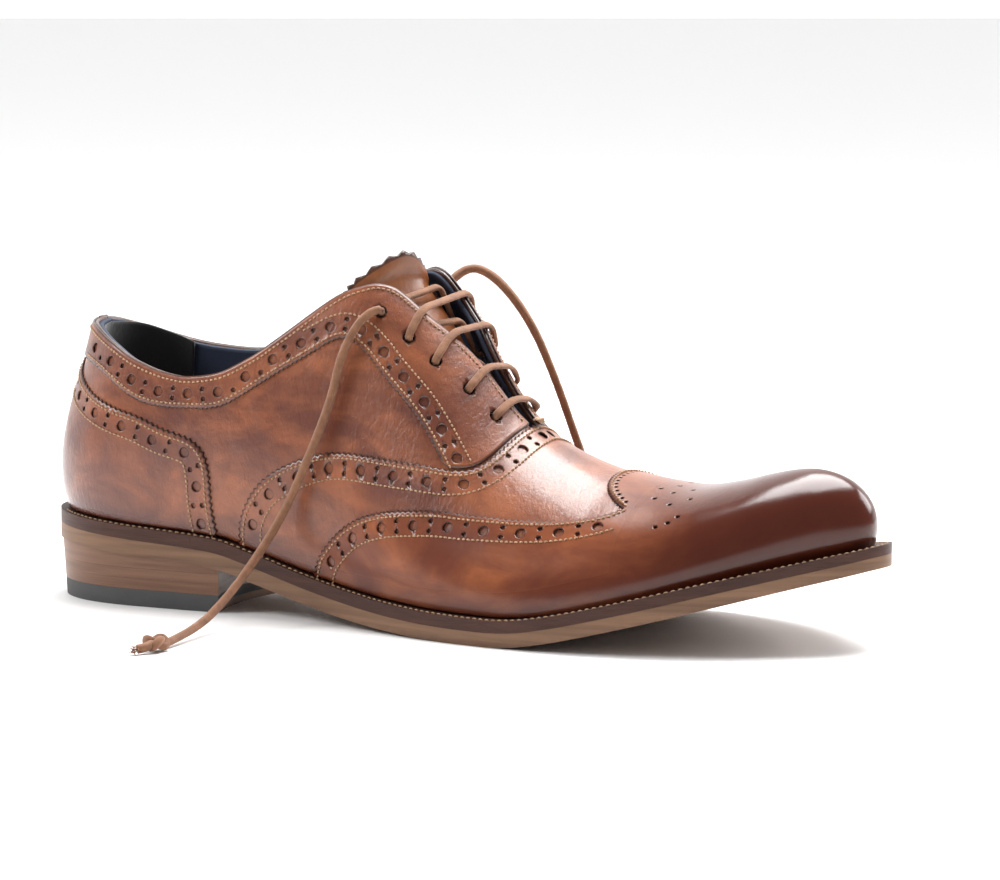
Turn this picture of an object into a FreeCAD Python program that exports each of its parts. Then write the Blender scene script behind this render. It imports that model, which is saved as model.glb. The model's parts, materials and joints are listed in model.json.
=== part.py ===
import FreeCAD, Part
import math
import os

# Brogued leather oxford, right foot.  Millimetres.  X runs heel to toe, -Y is the outer
# (lateral) side, Z is up.  The shape is designed from the back of the heel at X = 0 and moved
# at export so that the origin is the middle of the underside of the box round the shoe.

V = FreeCAD.Vector
os.makedirs("parts", exist_ok=True)

# ---------------------------------------------------------------- driving dimensions
SHIFT_X = -153.6            # from the design origin to the middle of the box
SHIFT_Y = 0.8
TOE_X = 303.0               # feather line at the toe
HEEL_BREAST = 72.0          # length of the heel
HEEL_TAPER = 1.6            # heel is this much smaller all round on the ground
TOP_PIECE = 6.0             # rubber top piece
LEATHER_TOP = 2.6           # leather part let into the front of the top piece
LIFT = 3.7                  # one leather lift
OUTSOLE_SHARE = 0.54        # outsole share of the sole edge
SOLE_GAP = 0.04             # clearance between stacked layers
WELT_IN = 3.0               # welt reaches this far under the upper
INSOLE_IN = 5.2
INSOLE = 2.4
LACE = 3.0                  # lace diameter
EYELET = 4.4                # punched lace hole
LINING_SEAM = 0.15          # half the gap of the vamp lining's middle seam
PAST_MIDDLE = 5.0           # cutters of one side reach this far over the middle plane
JOINS = (0.01, 0.03, 0.0, 0.1, 0.001)   # tolerances tried when two halves are joined

# layers of the upper, as depths below the designed outer surface (outer, inner)
CAP_LAYER = (-1.25, -0.05)
OVER_LAYER = (0.0, 1.2)
QUARTER_LAYER = (1.25, 2.45)
PUFF_LAYER = (1.25, 2.1)
STIFFENER_LAYER = (2.5, 3.5)
LINING_LAYER = (3.55, 4.25)
GRIP_LAYER = (4.3, 4.9)
VAMP_LINING_LAYER = (2.5, 3.3)

# feather line (where upper meets welt): X, Y
LATERAL = [(0, 0), (5, -14), (20, -25.5), (48, -29.5), (80, -29.5), (112, -32), (145, -40),
           (175, -47), (202, -49.5), (228, -47), (252, -40), (274, -29), (292, -14.5)]
TIP = (TOE_X, 0)
MEDIAL = [(5, 14), (20, 25), (48, 28.5), (80, 27), (112, 25.5), (145, 30), (175, 39.5),
          (202, 46.5), (228, 47.5), (252, 43), (274, 32), (292, 16.5)]


class Loop:
    """Closed cubic spline of one coordinate, period 1."""

    def __init__(self, knots, values):
        n = len(knots)
        self.t = list(knots) + [knots[0] + 1.0]
        self.y = list(values) + [values[0]]
        self.h = h = [self.t[i + 1] - self.t[i] for i in range(n)]
        rows = [[0.0] * n for _ in range(n)]
        right = [0.0] * n
        for i in range(n):
            rows[i][i - 1] += h[i - 1]
            rows[i][i] += 2 * (h[i - 1] + h[i])
            rows[i][(i + 1) % n] += h[i]
            right[i] = 6 * ((self.y[i + 1] - values[i]) / h[i] - (values[i] - values[i - 1]) / h[i - 1])
        for i in range(n):
            for k in range(i + 1, n):
                f = rows[k][i] / rows[i][i]
                if f:
                    for j in range(i, n):
                        rows[k][j] -= f * rows[i][j]
                    right[k] -= f * right[i]
        m = [0.0] * n
        for i in range(n - 1, -1, -1):
            m[i] = (right[i] - sum(rows[i][j] * m[j] for j in range(i + 1, n))) / rows[i][i]
        self.m = m + [m[0]]

    def __call__(self, t):
        t = (t - self.t[0]) % 1.0 + self.t[0]
        i = 0
        while i < len(self.h) - 1 and t > self.t[i + 1]:
            i += 1
        h = self.h[i]
        a = (self.t[i + 1] - t) / h
        b = 1 - a
        return (a * self.y[i] + b * self.y[i + 1]
                + ((a ** 3 - a) * self.m[i] + (b ** 3 - b) * self.m[i + 1]) * h * h / 6)


class Graph:
    """Smooth curve through (x, y) points that never overshoots them."""

    def __init__(self, *points):
        self.x = [p[0] for p in points]
        self.y = [p[1] for p in points]
        d = [(self.y[i + 1] - self.y[i]) / (self.x[i + 1] - self.x[i]) for i in range(len(points) - 1)]
        g = [d[0]]
        for i in range(1, len(points) - 1):
            if d[i - 1] * d[i] <= 0:
                g.append(0.0)
            else:
                h0, h1 = self.x[i] - self.x[i - 1], self.x[i + 1] - self.x[i]
                w0, w1 = 2 * h1 + h0, h1 + 2 * h0
                g.append((w0 + w1) / (w0 / d[i - 1] + w1 / d[i]))
        self.g = g + [d[-1]]

    def __call__(self, x):
        x = min(max(x, self.x[0]), self.x[-1])
        i = 0
        while i < len(self.x) - 2 and x > self.x[i + 1]:
            i += 1
        h = self.x[i + 1] - self.x[i]
        u = (x - self.x[i]) / h
        return ((1 + 2 * u) * (1 - u) ** 2 * self.y[i] + u * (1 - u) ** 2 * h * self.g[i]
                + u * u * (3 - 2 * u) * self.y[i + 1] + u * u * (u - 1) * h * self.g[i + 1])


# heights of the sole along X
BOTTOM = Graph((-6, 20.8), (0, 20.5), (36, 18.2), (72, 15.7), (90, 11.3), (110, 6.2), (128, 3.1),
               (145, 1.3), (165, 0.2), (178, 0.0), (188, 0.0), (198, 0.6), (210, 2.6), (229, 7.0),
               (245, 11.1), (261, 15.4), (289, 22.8), (311, 28.2))
THICK = Graph((0, 10.0), (100, 10.0), (150, 9.2), (200, 8.8), (250, 8.6), (303, 7.6))
WELT_OUT = Graph((0, 2.8), (72, 3.0), (120, 4.2), (175, 6.0), (250, 6.6), (303, 7.0))

# ribs of the upper: where each rib meets the top line of the last, by feather X
CREST_X = Graph((0, 12.5), (5, 15), (12, 20.5), (20, 28.5), (30, 38), (60, 68), (90, 98), (118, 122), (135, 143), (155, 163),
                (170, 178), (190, 197), (215, 219), (240, 240), (262, 257), (280, 268),
                (292, 275), (303, 280))
CREST_Z = Graph((12, 110), (38, 112), (68, 117), (98, 122), (118, 123.5), (128, 120), (137, 114.5),
                (147, 106.5), (156, 98), (165, 87.5), (173, 77), (178, 70.5), (186, 64.6),
                (197, 58.6), (219, 52.0), (240, 49.8), (257, 52.5), (268, 55.5), (276, 57.3),
                (280, 57.9))
MEDIAL_RISE = Graph((98, 0), (118, 5), (128, 9), (137, 10.5), (149, 7), (156, 5), (165, 1.5), (178, 0))
MEDIAL_OPEN = Graph((85, 0), (105, 5), (122, 10), (135, 9), (150, 4.5), (165, 1), (175, 0))
CREST_Y = Graph((0, 0), (1, 4), (5, 10), (12, 16), (20, 20), (30, 22.5), (60, 21.5), (90, 12),
                (118, 4.0), (140, 2.0), (165, 0), (303, 0))
LOW_UP = Graph((0, 26), (50, 28), (85, 30), (118, 34), (150, 31), (175, 24), (215, 18), (250, 16),
               (285, 14), (303, 13))
LOW_OUT = Graph((0, 9), (50, 5), (85, 4), (118, 4), (150, 5), (175, 5), (215, 4), (250, 4.5),
                (285, 5.5), (303, 6))
HIGH_OUT = Graph((0, 30), (50, 30), (90, 27), (118, 24), (150, 26), (175, 29), (215, 30), (250, 27),
                 (285, 22), (303, 18))
HIGH_DROP = Graph((0, 34), (50, 34), (90, 22), (118, 10), (150, 6), (175, 3), (200, 0), (303, 0))
MEDIAL_DROP = Graph((90, 0), (118, 9), (135, 10), (155, 4), (170, 0))
HIGH_LEAN = Graph((0, 0.0), (25, 0.22), (60, 0.3), (90, 0.7), (118, 1.0), (303, 1.0))
FAN = Graph((0, 0), (225, 0), (262, 22), (280, 45), (292, 66), (303, 90))
RIBS = 360
SMOOTHING = 10
CREST_JOIN = (0.48, 0.56)


def outline_knots():
    def shares(points):
        total = [0.0]
        for a, b in zip(points, points[1:]):
            total.append(total[-1] + math.dist(a, b))
        return [v / total[-1] * 0.5 for v in total]
    back = [1 - v for v in shares([LATERAL[0]] + MEDIAL + [TIP])[1:-1]][::-1]
    return shares(LATERAL + [TIP]) + back


KNOTS = outline_knots()
POINTS = LATERAL + [TIP] + MEDIAL[::-1]
OUT_X = Loop(KNOTS, [p[0] for p in POINTS])
OUT_Y = Loop(KNOTS, [p[1] for p in POINTS])


def outward(t, step=1e-4):
    dx = OUT_X(t + step) - OUT_X(t - step)
    dy = OUT_Y(t + step) - OUT_Y(t - step)
    size = math.hypot(dx, dy)
    return dy / size, -dx / size


def raw_rib(t):
    """Four control points of the rib that starts at loop position t."""
    side = -1 if t <= 0.5 else 1
    x, y = OUT_X(t), OUT_Y(t)
    nx, ny = outward(t)
    xf = min(max(x, 0.0), TOE_X)
    cx = CREST_X(xf)
    cz = CREST_Z(cx) + (MEDIAL_RISE(cx) if side > 0 else 0.0)
    slope = (CREST_Z(cx + 1) - CREST_Z(cx - 1)) / 2 if 118 < cx < 279 else (0 if cx <= 118 else 0.1)
    fan, reach, lean = math.radians(FAN(xf)), HIGH_OUT(xf), HIGH_LEAN(xf)
    drop = HIGH_DROP(xf) + (MEDIAL_DROP(xf) if side > 0 else 0.0)
    half = CREST_Y(xf) + (MEDIAL_OPEN(xf) if side > 0 else 0.0)
    low = [x + nx * LOW_OUT(xf), y + ny * LOW_OUT(xf), BOTTOM(x) + THICK(x) + LOW_UP(xf)]
    high = [cx + reach * math.sin(fan) - 4 * (1 - lean),
            side * (half + reach * math.cos(fan) * lean),
            cz + slope * reach * math.sin(fan) - drop]
    return [[x, y, BOTTOM(x) + THICK(x)], low, high, [cx, side * half, cz]]


def smooth_ribs():
    ribs = [raw_rib(i / RIBS) for i in range(RIBS)]
    for _ in range(SMOOTHING):
        for c in (1, 2, 3):
            for axis in range(3):
                v = [rib[c][axis] for rib in ribs]
                for i in range(RIBS):
                    ribs[i][c][axis] = (v[i - 1] + 2 * v[i] + v[(i + 1) % RIBS]) / 4
    for i in range(RIBS // 2 + 1):          # both sides share one crest line from the throat on
        near, far = ribs[i], ribs[-i]
        share = min(max((i / (RIBS / 2) - CREST_JOIN[0]) / (CREST_JOIN[1] - CREST_JOIN[0]), 0), 1)
        middle = [(near[3][0] + far[3][0]) / 2, 0.0, (near[3][2] + far[3][2]) / 2]
        for rib in (near, far):
            rib[3] = [(1 - share) * rib[3][k] + share * middle[k] for k in range(3)]
    for i in (0, RIBS // 2):
        for point in ribs[i]:
            point[1] = 0.0
    return ribs


RIB = smooth_ribs()


def last_point(side, s, h):
    """Point of the outer surface: s runs heel (0) to toe (1), h feather line (0) to crest (1)."""
    t = s / 2 if side < 0 else 1 - s / 2
    u = (t % 1.0) * RIBS
    i = int(u) % RIBS
    f = u - int(u)
    a, b = RIB[i], RIB[(i + 1) % RIBS]
    g = 1 - h
    w = (g ** 3, 3 * g * g * h, 3 * g * h * h, h ** 3)
    return [sum(w[c] * (a[c][k] * (1 - f) + b[c][k] * f) for c in range(4)) for k in range(3)]


def cross(a, b):
    return [a[1] * b[2] - a[2] * b[1], a[2] * b[0] - a[0] * b[2], a[0] * b[1] - a[1] * b[0]]


def normal(side, s, h, e=0.004):
    """Unit normal pointing out of the shoe."""
    if s > 0.93:
        h = min(h, 0.96)
    s0, s1, h0, h1 = max(s - e, 0), min(s + e, 1), max(h - e, 0), min(h + e, 1)
    a, b = last_point(side, s0, h), last_point(side, s1, h)
    c, d = last_point(side, s, h0), last_point(side, s, h1)
    n = cross([b[k] - a[k] for k in range(3)], [d[k] - c[k] for k in range(3)])
    size = math.sqrt(sum(v * v for v in n)) * (-side)
    n = [v / size for v in n]
    if abs(last_point(side, s, h)[1]) < 1e-6:
        flat = math.hypot(n[0], n[2])
        n = [n[0] / flat, 0.0, n[2] / flat]
    return n


def inset(side, s, h, depth):
    p, n = last_point(side, s, h), normal(side, s, h)
    return V(*[p[k] - n[k] * depth for k in range(3)])


# ---------------------------------------------------------------- seams, as (s, h)
TOP_LINE = Graph((0.0, 0.868), (0.03, 0.862), (0.06, 0.850), (0.11, 0.785), (0.15, 0.71),
                 (0.19, 0.648), (0.215, 0.625), (0.245, 0.617), (0.28, 0.647), (0.305, 0.689),
                 (0.33, 0.732), (0.363, 0.786), (0.392, 0.838), (0.41, 0.885), (0.425, 0.905),
                 (0.452, 0.90), (0.478, 0.918), (0.505, 0.935), (0.533, 0.948), (0.56, 0.965),
                 (0.575, 0.985), (0.60, 1.0))
TOP_MEDIAL = Graph((0.0, 0.868), (0.03, 0.856), (0.06, 0.828), (0.085, 0.794), (0.125, 0.741),
                   (0.163, 0.707), (0.202, 0.681), (0.245, 0.668), (0.28, 0.682), (0.305, 0.705),
                   (0.34, 0.74), (0.376, 0.79), (0.404, 0.84), (0.421, 0.885), (0.434, 0.90),
                   (0.455, 0.895), (0.478, 0.913), (0.505, 0.93), (0.533, 0.945), (0.56, 0.965),
                   (0.575, 0.985), (0.60, 1.0))
VAMP_SEAM = [(0.287, -0.03), (0.288, 0.084), (0.295, 0.162), (0.309, 0.237), (0.328, 0.285),
             (0.358, 0.326), (0.388, 0.35), (0.417, 0.372), (0.463, 0.411), (0.503, 0.46),
             (0.532, 0.522), (0.548, 0.59), (0.557, 0.68), (0.561, 0.80), (0.563, 1.0)]
CAP_SEAM = [(0.38, -0.03), (0.386, 0.061), (0.40, 0.122), (0.419, 0.179), (0.444, 0.231),
            (0.474, 0.276), (0.51, 0.326), (0.542, 0.384), (0.574, 0.434), (0.615, 0.48),
            (0.657, 0.523), (0.687, 0.563), (0.708, 0.608), (0.718, 0.654)]
CAP_PEAK = [(0.718, 0.654), (0.694, 0.733), (0.676, 0.83), (0.668, 1.0)]
COUNTER_SEAM = [(0.012, 0.87), (0.016, 0.76), (0.04, 0.68), (0.073, 0.615), (0.101, 0.56),
                (0.133, 0.511), (0.165, 0.47), (0.195, 0.418), (0.226, 0.375), (0.243, 0.316),
                (0.25, 0.242), (0.253, 0.148), (0.257, 0.053), (0.26, -0.03)]
COLLAR_SEAM = [(0.0, 0.735), (0.05, 0.72), (0.081, 0.70), (0.117, 0.641), (0.155, 0.554),
               (0.186, 0.517), (0.221, 0.5), (0.256, 0.492), (0.287, 0.535), (0.324, 0.59),
               (0.364, 0.633), (0.391, 0.660), (0.402, 0.657), (0.436, 0.613), (0.468, 0.585),
               (0.501, 0.544), (0.525, 0.504)]
EYELETS = [(0.418, 0.783), (0.447, 0.768), (0.477, 0.770), (0.512, 0.797), (0.539, 0.826)]


# ---------------------------------------------------------------- building blocks
def spline_face(rows):
    surface = Part.BSplineSurface()
    surface.interpolate(rows)
    return surface


def sides(surface):
    """The four border edges of a spline surface."""
    u0, u1, v0, v1 = surface.bounds()
    return [surface.uIso(u0).toShape(), surface.uIso(u1).toShape(),
            surface.vIso(v0).toShape(), surface.vIso(v1).toShape()]


def thick_sheet(outer_rows, inner_rows):
    """Closed solid between two grids of points."""
    outer, inner = spline_face(outer_rows), spline_face(inner_rows)
    faces = [outer.toShape(), inner.toShape()]
    faces += [Part.makeRuledSurface(a, b) for a, b in zip(sides(outer), sides(inner))]
    shell = Part.makeShell(faces)
    shell.sewShape()
    solid = Part.makeSolid(shell)
    if solid.Volume < 0:
        solid.reverse()
    return solid


def spread(a, b, n):
    return [a + (b - a) * i / (n - 1) for i in range(n)]


def half_layer(side, layer, s_range, low, high, ns, nh=9, closed=False):
    """One side of a layer of the upper, from h = low(s) to h = high(s).

    closed: the top row lies on the middle plane all the way, so the other half joins it."""
    grids = []
    for depth in layer:
        grid = [[inset(side, s, h, depth) for h in spread(low(s), high(s), nh)]
                for s in spread(s_range[0], s_range[1], ns)]
        if closed:
            for row in grid:
                row[-1].y = 0.0
        grids.append(grid)
    return thick_sheet(*grids)


def flat(value):
    return lambda s: value


def seam_cutter(side, seam, corners):
    """Block whose edge follows a seam seen from the side; corners close it, in (X, Z)."""
    points = [last_point(side, s, h) for s, h in seam]
    curve = Part.BSplineCurve()
    curve.interpolate([V(p[0], 0, p[2]) for p in points])
    ring = [V(points[-1][0], 0, points[-1][2])] + [V(x, 0, z) for x, z in corners]
    ring.append(V(points[0][0], 0, points[0][2]))
    edges = [curve.toShape()] + [Part.makeLine(a, b) for a, b in zip(ring, ring[1:])]
    face = Part.Face(Part.Wire(edges))
    face.translate(V(0, -side * PAST_MIDDLE, 0))
    return face.extrude(V(0, side * 95, 0))


def shifted(seam, step):
    return [(s + step, h) for s, h in seam]


def both(make):
    """A piece that wraps round: its two halves joined on the middle plane."""
    left, right = make(-1), make(1)
    wanted = left.Volume + right.Volume
    for tolerance in JOINS:
        try:
            joined = left.fuse([right], tolerance).removeSplitter()
            whole = max(joined.Solids, key=lambda piece: piece.Volume)
        except (Part.OCCError, ValueError):
            continue
        if whole.isValid() and abs(whole.Volume / wanted - 1) < 0.02:
            return whole
    print("halves left unjoined", left.Volume, right.Volume)
    return Part.makeCompound([left, right])


def outline(width):
    """Closed sole outline at width(X) outside the feather line, on Z = 0."""
    points = []
    for i in range(64):
        t = i / 64
        x, y = OUT_X(t), OUT_Y(t)
        nx, ny = outward(t)
        w = width(x)
        points.append(V(x + nx * w, y + ny * w, 0))
    curve = Part.BSplineCurve()
    curve.interpolate(points, PeriodicFlag=True)
    return Part.Face(Part.Wire([curve.toShape()]))


def profile(low, high, x0, x1, n=60):
    """Block between two heights along X, wider than the shoe."""
    edges = []
    ends = []
    for height in (low, high):
        curve = Part.BSplineCurve()
        curve.interpolate([V(x, -90, height(x)) for x in spread(x0, x1, n)])
        edges.append(curve.toShape())
        ends.append((V(x0, -90, height(x0)), V(x1, -90, height(x1))))
    edges.insert(1, Part.makeLine(ends[0][1], ends[1][1]))
    edges.append(Part.makeLine(ends[1][0], ends[0][0]))
    return Part.Face(Part.Wire(Part.__sortEdges__(edges))).extrude(V(0, 180, 0))


def column(face):
    moved = face.copy()
    moved.translate(V(0, 0, -20))
    return moved.extrude(V(0, 0, 90))


def sole_edge(share, gap=0.0):
    return lambda x: BOTTOM(x) + THICK(x) * share + gap


def tube(points, radius, bend):
    """Round cord: straight runs joined by tangent arcs."""
    edges = []
    start = points[0]
    for a, corner, b in zip(points, points[1:], points[2:]):
        u, w = (a - corner).normalize(), (b - corner).normalize()
        half = (math.pi - u.getAngle(w)) / 2
        run = min((a - corner).Length, (b - corner).Length)
        r = min(bend, 0.45 * run / math.tan(half))
        cut = r * math.tan(half)
        p, q = corner + u * cut, corner + w * cut
        middle = (u + w).normalize()
        m = corner + middle * (r / math.cos(half) - r)
        edges.append(Part.makeLine(start, p))
        edges.append(Part.Arc(p, m, q).toShape())
        RADII.append(round(r, 1))
        start = q
    edges.append(Part.makeLine(start, points[-1]))
    wire = Part.Wire(edges)
    direction = points[1] - points[0]
    ring = Part.Wire([Part.makeCircle(radius, points[0], direction)])
    solid = wire.makePipeShell([ring], True, False)
    expected = math.pi * radius ** 2 * wire.Length
    print("cord", round(wire.Length, 1), "mm, radii", RADII[-len(points) + 2:],
          "volume share", round(abs(solid.Volume) / expected, 3))
    return solid


RADII = []
NODES = {}

# ---------------------------------------------------------------- sole and heel
whole = column(outline(WELT_OUT))
NODES["outsole"] = whole.common(profile(BOTTOM, sole_edge(OUTSOLE_SHARE), -8, 314))

welt_block = whole.common(profile(sole_edge(OUTSOLE_SHARE, SOLE_GAP), sole_edge(1), -8, 314))
welt_band = welt_block.cut(column(outline(flat(-WELT_IN))))
front = Part.makeBox(300, 200, 100, V(HEEL_BREAST - 8, -100, -10))
rear = Part.makeBox(100, 200, 100, V(HEEL_BREAST - 8 - SOLE_GAP - 100, -100, -10))
NODES["welt"] = welt_band.common(front)
NODES["heel_rand"] = welt_band.common(rear)

under_insole = profile(sole_edge(OUTSOLE_SHARE, SOLE_GAP), sole_edge(1), -8, 314)
core = column(outline(flat(-WELT_IN - 0.05))).common(under_insole)
shank_bed = Part.makeBox(100, 14, 100, V(50, -7, -10))
NODES["shank"] = shank_bed.common(profile(sole_edge(0.78), sole_edge(0.92), 40, 160))
NODES["cork_filler"] = core.cut(Part.makeBox(100.2, 14.2, 100, V(49.9, -7.1, -10)).common(
    profile(sole_edge(0.775), sole_edge(0.925), 40, 160)))
insole_block = column(outline(flat(-INSOLE_IN)))
NODES["insole"] = insole_block.common(profile(
    sole_edge(1, SOLE_GAP), sole_edge(1, SOLE_GAP + INSOLE), -8, 314))
NODES["sock_liner"] = column(outline(flat(-INSOLE_IN - 0.4))).common(profile(
    sole_edge(1, INSOLE + 2 * SOLE_GAP), sole_edge(1, INSOLE + 0.9), -8, 314)).common(
    Part.makeBox(125, 200, 100, V(-20, -100, -10)))

heel_top = Part.Wire(outline(lambda x: WELT_OUT(x) - 0.4).Edges)
heel_ground = Part.Wire(outline(lambda x: WELT_OUT(x) - 0.4 - HEEL_TAPER).Edges)
heel_ground.translate(V(0, 0, 0))
heel_top.translate(V(0, 0, 24))
heel = Part.makeLoft([heel_ground, heel_top], True, True)
breast = Part.makeCylinder(90, 60, V(HEEL_BREAST + 87, 0, -10))
heel = heel.cut(breast).common(Part.makeBox(120, 200, 60, V(-30, -100, -10)))
heel = heel.common(profile(flat(-1.0), lambda x: BOTTOM(x) - SOLE_GAP, -12, 100))
heel = max(heel.Solids, key=lambda piece: piece.Volume)
rubber = heel.common(Part.makeBox(200, 200, TOP_PIECE, V(-50, -100, 0)))
tread = outline(lambda x: WELT_OUT(x) - 3.2 - HEEL_TAPER).extrude(V(0, 0, LEATHER_TOP)).common(
    Part.makeBox(50, 200, 20, V(26, -100, -1))).common(heel)
NODES["top_piece_leather"] = tread
NODES["top_piece_rubber"] = rubber.cut(Part.makeBox(60, 200, LEATHER_TOP + SOLE_GAP, V(25.96, -100, 0)).common(
    outline(lambda x: WELT_OUT(x) - 3.15 - HEEL_TAPER).extrude(V(0, 0, 10))))
level = TOP_PIECE + SOLE_GAP
for i in range(3):
    NODES["heel_lift_%d" % (i + 1)] = heel.common(
        Part.makeBox(200, 200, LIFT - SOLE_GAP if i < 2 else 40, V(-50, -100, level)))
    level += LIFT

pins = []
for x, y in [(14, -14), (14, 14), (8, 0), (34, -22), (34, 22), (60, -22), (60, 22), (47, 0)]:
    pins.append(Part.makeCylinder(0.9, 4.2, V(x, y, -0.0)))
nails = Part.makeCompound(pins)
for name in ("top_piece_leather", "top_piece_rubber"):
    for pin in pins:
        NODES[name] = NODES[name].cut(pin)
NODES["top_piece_nails"] = nails

# ---------------------------------------------------------------- upper
FRONT_CORNERS = [(330, 140), (330, -20)]
REAR_CORNERS = [(-40, 160), (-40, -20)]


def upward(seam):
    return [last_point(-1, *seam[-1])[0], 160]


def ahead_of(side, seam):
    """Block covering everything on the toe side of a seam."""
    return seam_cutter(side, seam, [upward(seam)] + FRONT_CORNERS)


def behind(side, seam):
    return seam_cutter(side, seam, [upward(seam)] + REAR_CORNERS)


CAP_FOOT = 0.014                    # the cap leans out, so it starts this far up to clear the welt


def cap_half(side):
    layer = half_layer(side, CAP_LAYER, (0.36, 1.0), flat(CAP_FOOT), flat(1.0), 36, closed=True)
    return layer.common(ahead_of(side, CAP_SEAM + CAP_PEAK[1:]))


def vamp_half(side):
    layer = half_layer(side, OVER_LAYER, (0.27, 1.0), flat(0.0), flat(1.0), 38, closed=True)
    return layer.common(ahead_of(side, VAMP_SEAM)).common(
        behind(side, shifted(CAP_SEAM + CAP_PEAK[1:], 0.035)))


def lining_half(side):
    """Half of the vamp lining: its two halves meet in a seam on the middle plane."""
    layer = half_layer(side, VAMP_LINING_LAYER, (0.30, 1.0), flat(0.0), flat(1.0), 38, closed=True)
    layer.translate(V(0, side * LINING_SEAM, 0))
    return layer.common(ahead_of(side, shifted(VAMP_SEAM, 0.034)))


def to_top(side, drop=0.0):
    line = TOP_LINE if side < 0 else TOP_MEDIAL
    return lambda s: line(s) - drop


def counter_half(side):
    layer = half_layer(side, OVER_LAYER, (0.0, 0.275), flat(0.0), to_top(side), 22)
    return layer.common(behind(side, COUNTER_SEAM[::-1]))


def quarter_half(side, layer, margin, drop=0.0):
    sheet = half_layer(side, layer, (0.0, 0.60), flat(0.0), to_top(side, drop), 40)
    return sheet.cut(ahead_of(side, shifted(VAMP_SEAM, margin)))


def facing_half(side):
    sheet = half_layer(side, OVER_LAYER, (0.0, 0.60), flat(0.40), to_top(side), 40)
    sheet = sheet.cut(ahead_of(side, shifted(VAMP_SEAM, -0.001)))
    below = seam_cutter(side, COLLAR_SEAM, [(190, 20), (-40, 20), (-40, 85)])
    sheet = sheet.cut(below).cut(behind(side, shifted(COUNTER_SEAM, 0.001)[::-1]))
    return max(sheet.Solids, key=lambda piece: piece.Volume)


NAMES = {-1: "lateral", 1: "medial"}
NODES["wing_cap"] = both(cap_half)
NODES["vamp"] = both(vamp_half)
NODES["vamp_lining_lateral"] = lining_half(-1)
NODES["vamp_lining_medial"] = lining_half(1)
NODES["counter"] = both(counter_half)
NODES["heel_stiffener"] = both(lambda side: half_layer(
    side, STIFFENER_LAYER, (0.0, 0.24), flat(0.0), flat(0.52), 18))
NODES["toe_puff"] = both(lambda side: half_layer(
    side, PUFF_LAYER, (0.80, 1.0), flat(0.0), flat(1.0), 18, closed=True))
NODES["heel_grip"] = both(lambda side: half_layer(
    side, GRIP_LAYER, (0.0, 0.128), flat(0.22), to_top(side, 0.012), 12))
for side, name in NAMES.items():
    NODES["quarter_" + name] = quarter_half(side, QUARTER_LAYER, 0.03)
    NODES["quarter_lining_" + name] = quarter_half(side, LINING_LAYER, 0.03, 0.006)
    NODES["facing_" + name] = facing_half(side)

for side, name in NAMES.items():
    for s, h in EYELETS:
        p, n = V(*last_point(side, s, h)), V(*normal(side, s, h))
        drill = Part.makeCylinder(EYELET / 2, 12, p + n * 4, n * -1)
        for kind in ("facing_", "quarter_", "quarter_lining_"):
            NODES[kind + name] = NODES[kind + name].cut(drill)

# ---------------------------------------------------------------- tongue
# rows of its top face from the throat to the gimped end: s on the outer side, s on the inner side
# the depth below the outer surface, which leaves room for the lace under the facings, and how far
# the middle stands up from it
TONGUE = [(0.615, 0.615, 9.0, 0), (0.585, 0.585, 9.0, 0), (0.555, 0.555, 9.0, 0), (0.525, 0.525, 9.0, 0),
          (0.495, 0.495, 9.0, 0), (0.465, 0.467, 9.0, 0), (0.44, 0.445, 9.0, 0), (0.42, 0.432, 8.8, 0),
          (0.40, 0.42, 7.4, 0.5), (0.385, 0.412, 5.8, 1.8), (0.370, 0.405, 5.3, 3.2)]
TONGUE_RISES = [(0.72, 0.0), (0.78, 0.0), (0.84, 0.6)]     # outer side: h, share of the standing up
TONGUE_INNER_RISES = (0.75, 0.79, 0.85)                    # inner side: h
TONGUE_DEEPEST = 9.0
TONGUE_INNER_DEEPER = 1.4           # the inner side lies this much deeper, down to the deepest
TONGUE_RIDGE = (0.92, 1.6)          # h of the two points whose middle is the ridge, and how much deeper
TONGUE_THICK = 1.2
TONGUE_LINING = 0.6


def tongue_face():
    rows = []
    for outer, inner, below, lift in TONGUE:
        h, deeper = TONGUE_RIDGE
        top = below + deeper - lift
        ridge = (inset(-1, outer, h, top) + inset(1, inner, h, top)) * 0.5
        depths = [(rise, below - share * lift) for rise, share in TONGUE_RISES]
        deep_inner = min(TONGUE_DEEPEST, below + TONGUE_INNER_DEEPER)
        rows.append([inset(-1, outer, rise, deep) for rise, deep in depths] + [ridge]
                    + [inset(1, inner, rise, deep_inner) for rise in TONGUE_INNER_RISES[::-1]])
    return rows


def under_face(rows, depth):
    """The same sheet moved to its own lower side."""
    moved = []
    for i, row in enumerate(rows):
        before, after = rows[max(i - 1, 0)], rows[min(i + 1, len(rows) - 1)]
        line = []
        for j, point in enumerate(row):
            along = after[j] - before[j]
            across = row[min(j + 1, len(row) - 1)] - row[max(j - 1, 0)]
            line.append(point - across.cross(along).normalize() * depth)
        moved.append(line)
    return moved


FACE = tongue_face()
NODES["tongue"] = thick_sheet(FACE, under_face(FACE, TONGUE_THICK))
LINED = (TONGUE_THICK + SOLE_GAP, TONGUE_THICK + SOLE_GAP + TONGUE_LINING)
NODES["tongue_lining"] = thick_sheet(*[under_face(FACE, depth)[:-1] for depth in LINED])   # stops short

# ---------------------------------------------------------------- laces
R = LACE / 2


def over(side, s, h, lift):
    return V(*last_point(side, s, h)) + V(*normal(side, s, h)) * lift


def eyelet(i, side, lift):
    return over(side, EYELETS[i][0], EYELETS[i][1], lift)


UNDER = -(LINING_LAYER[1] + R + 0.5)
ABOVE = R + 0.6


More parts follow.
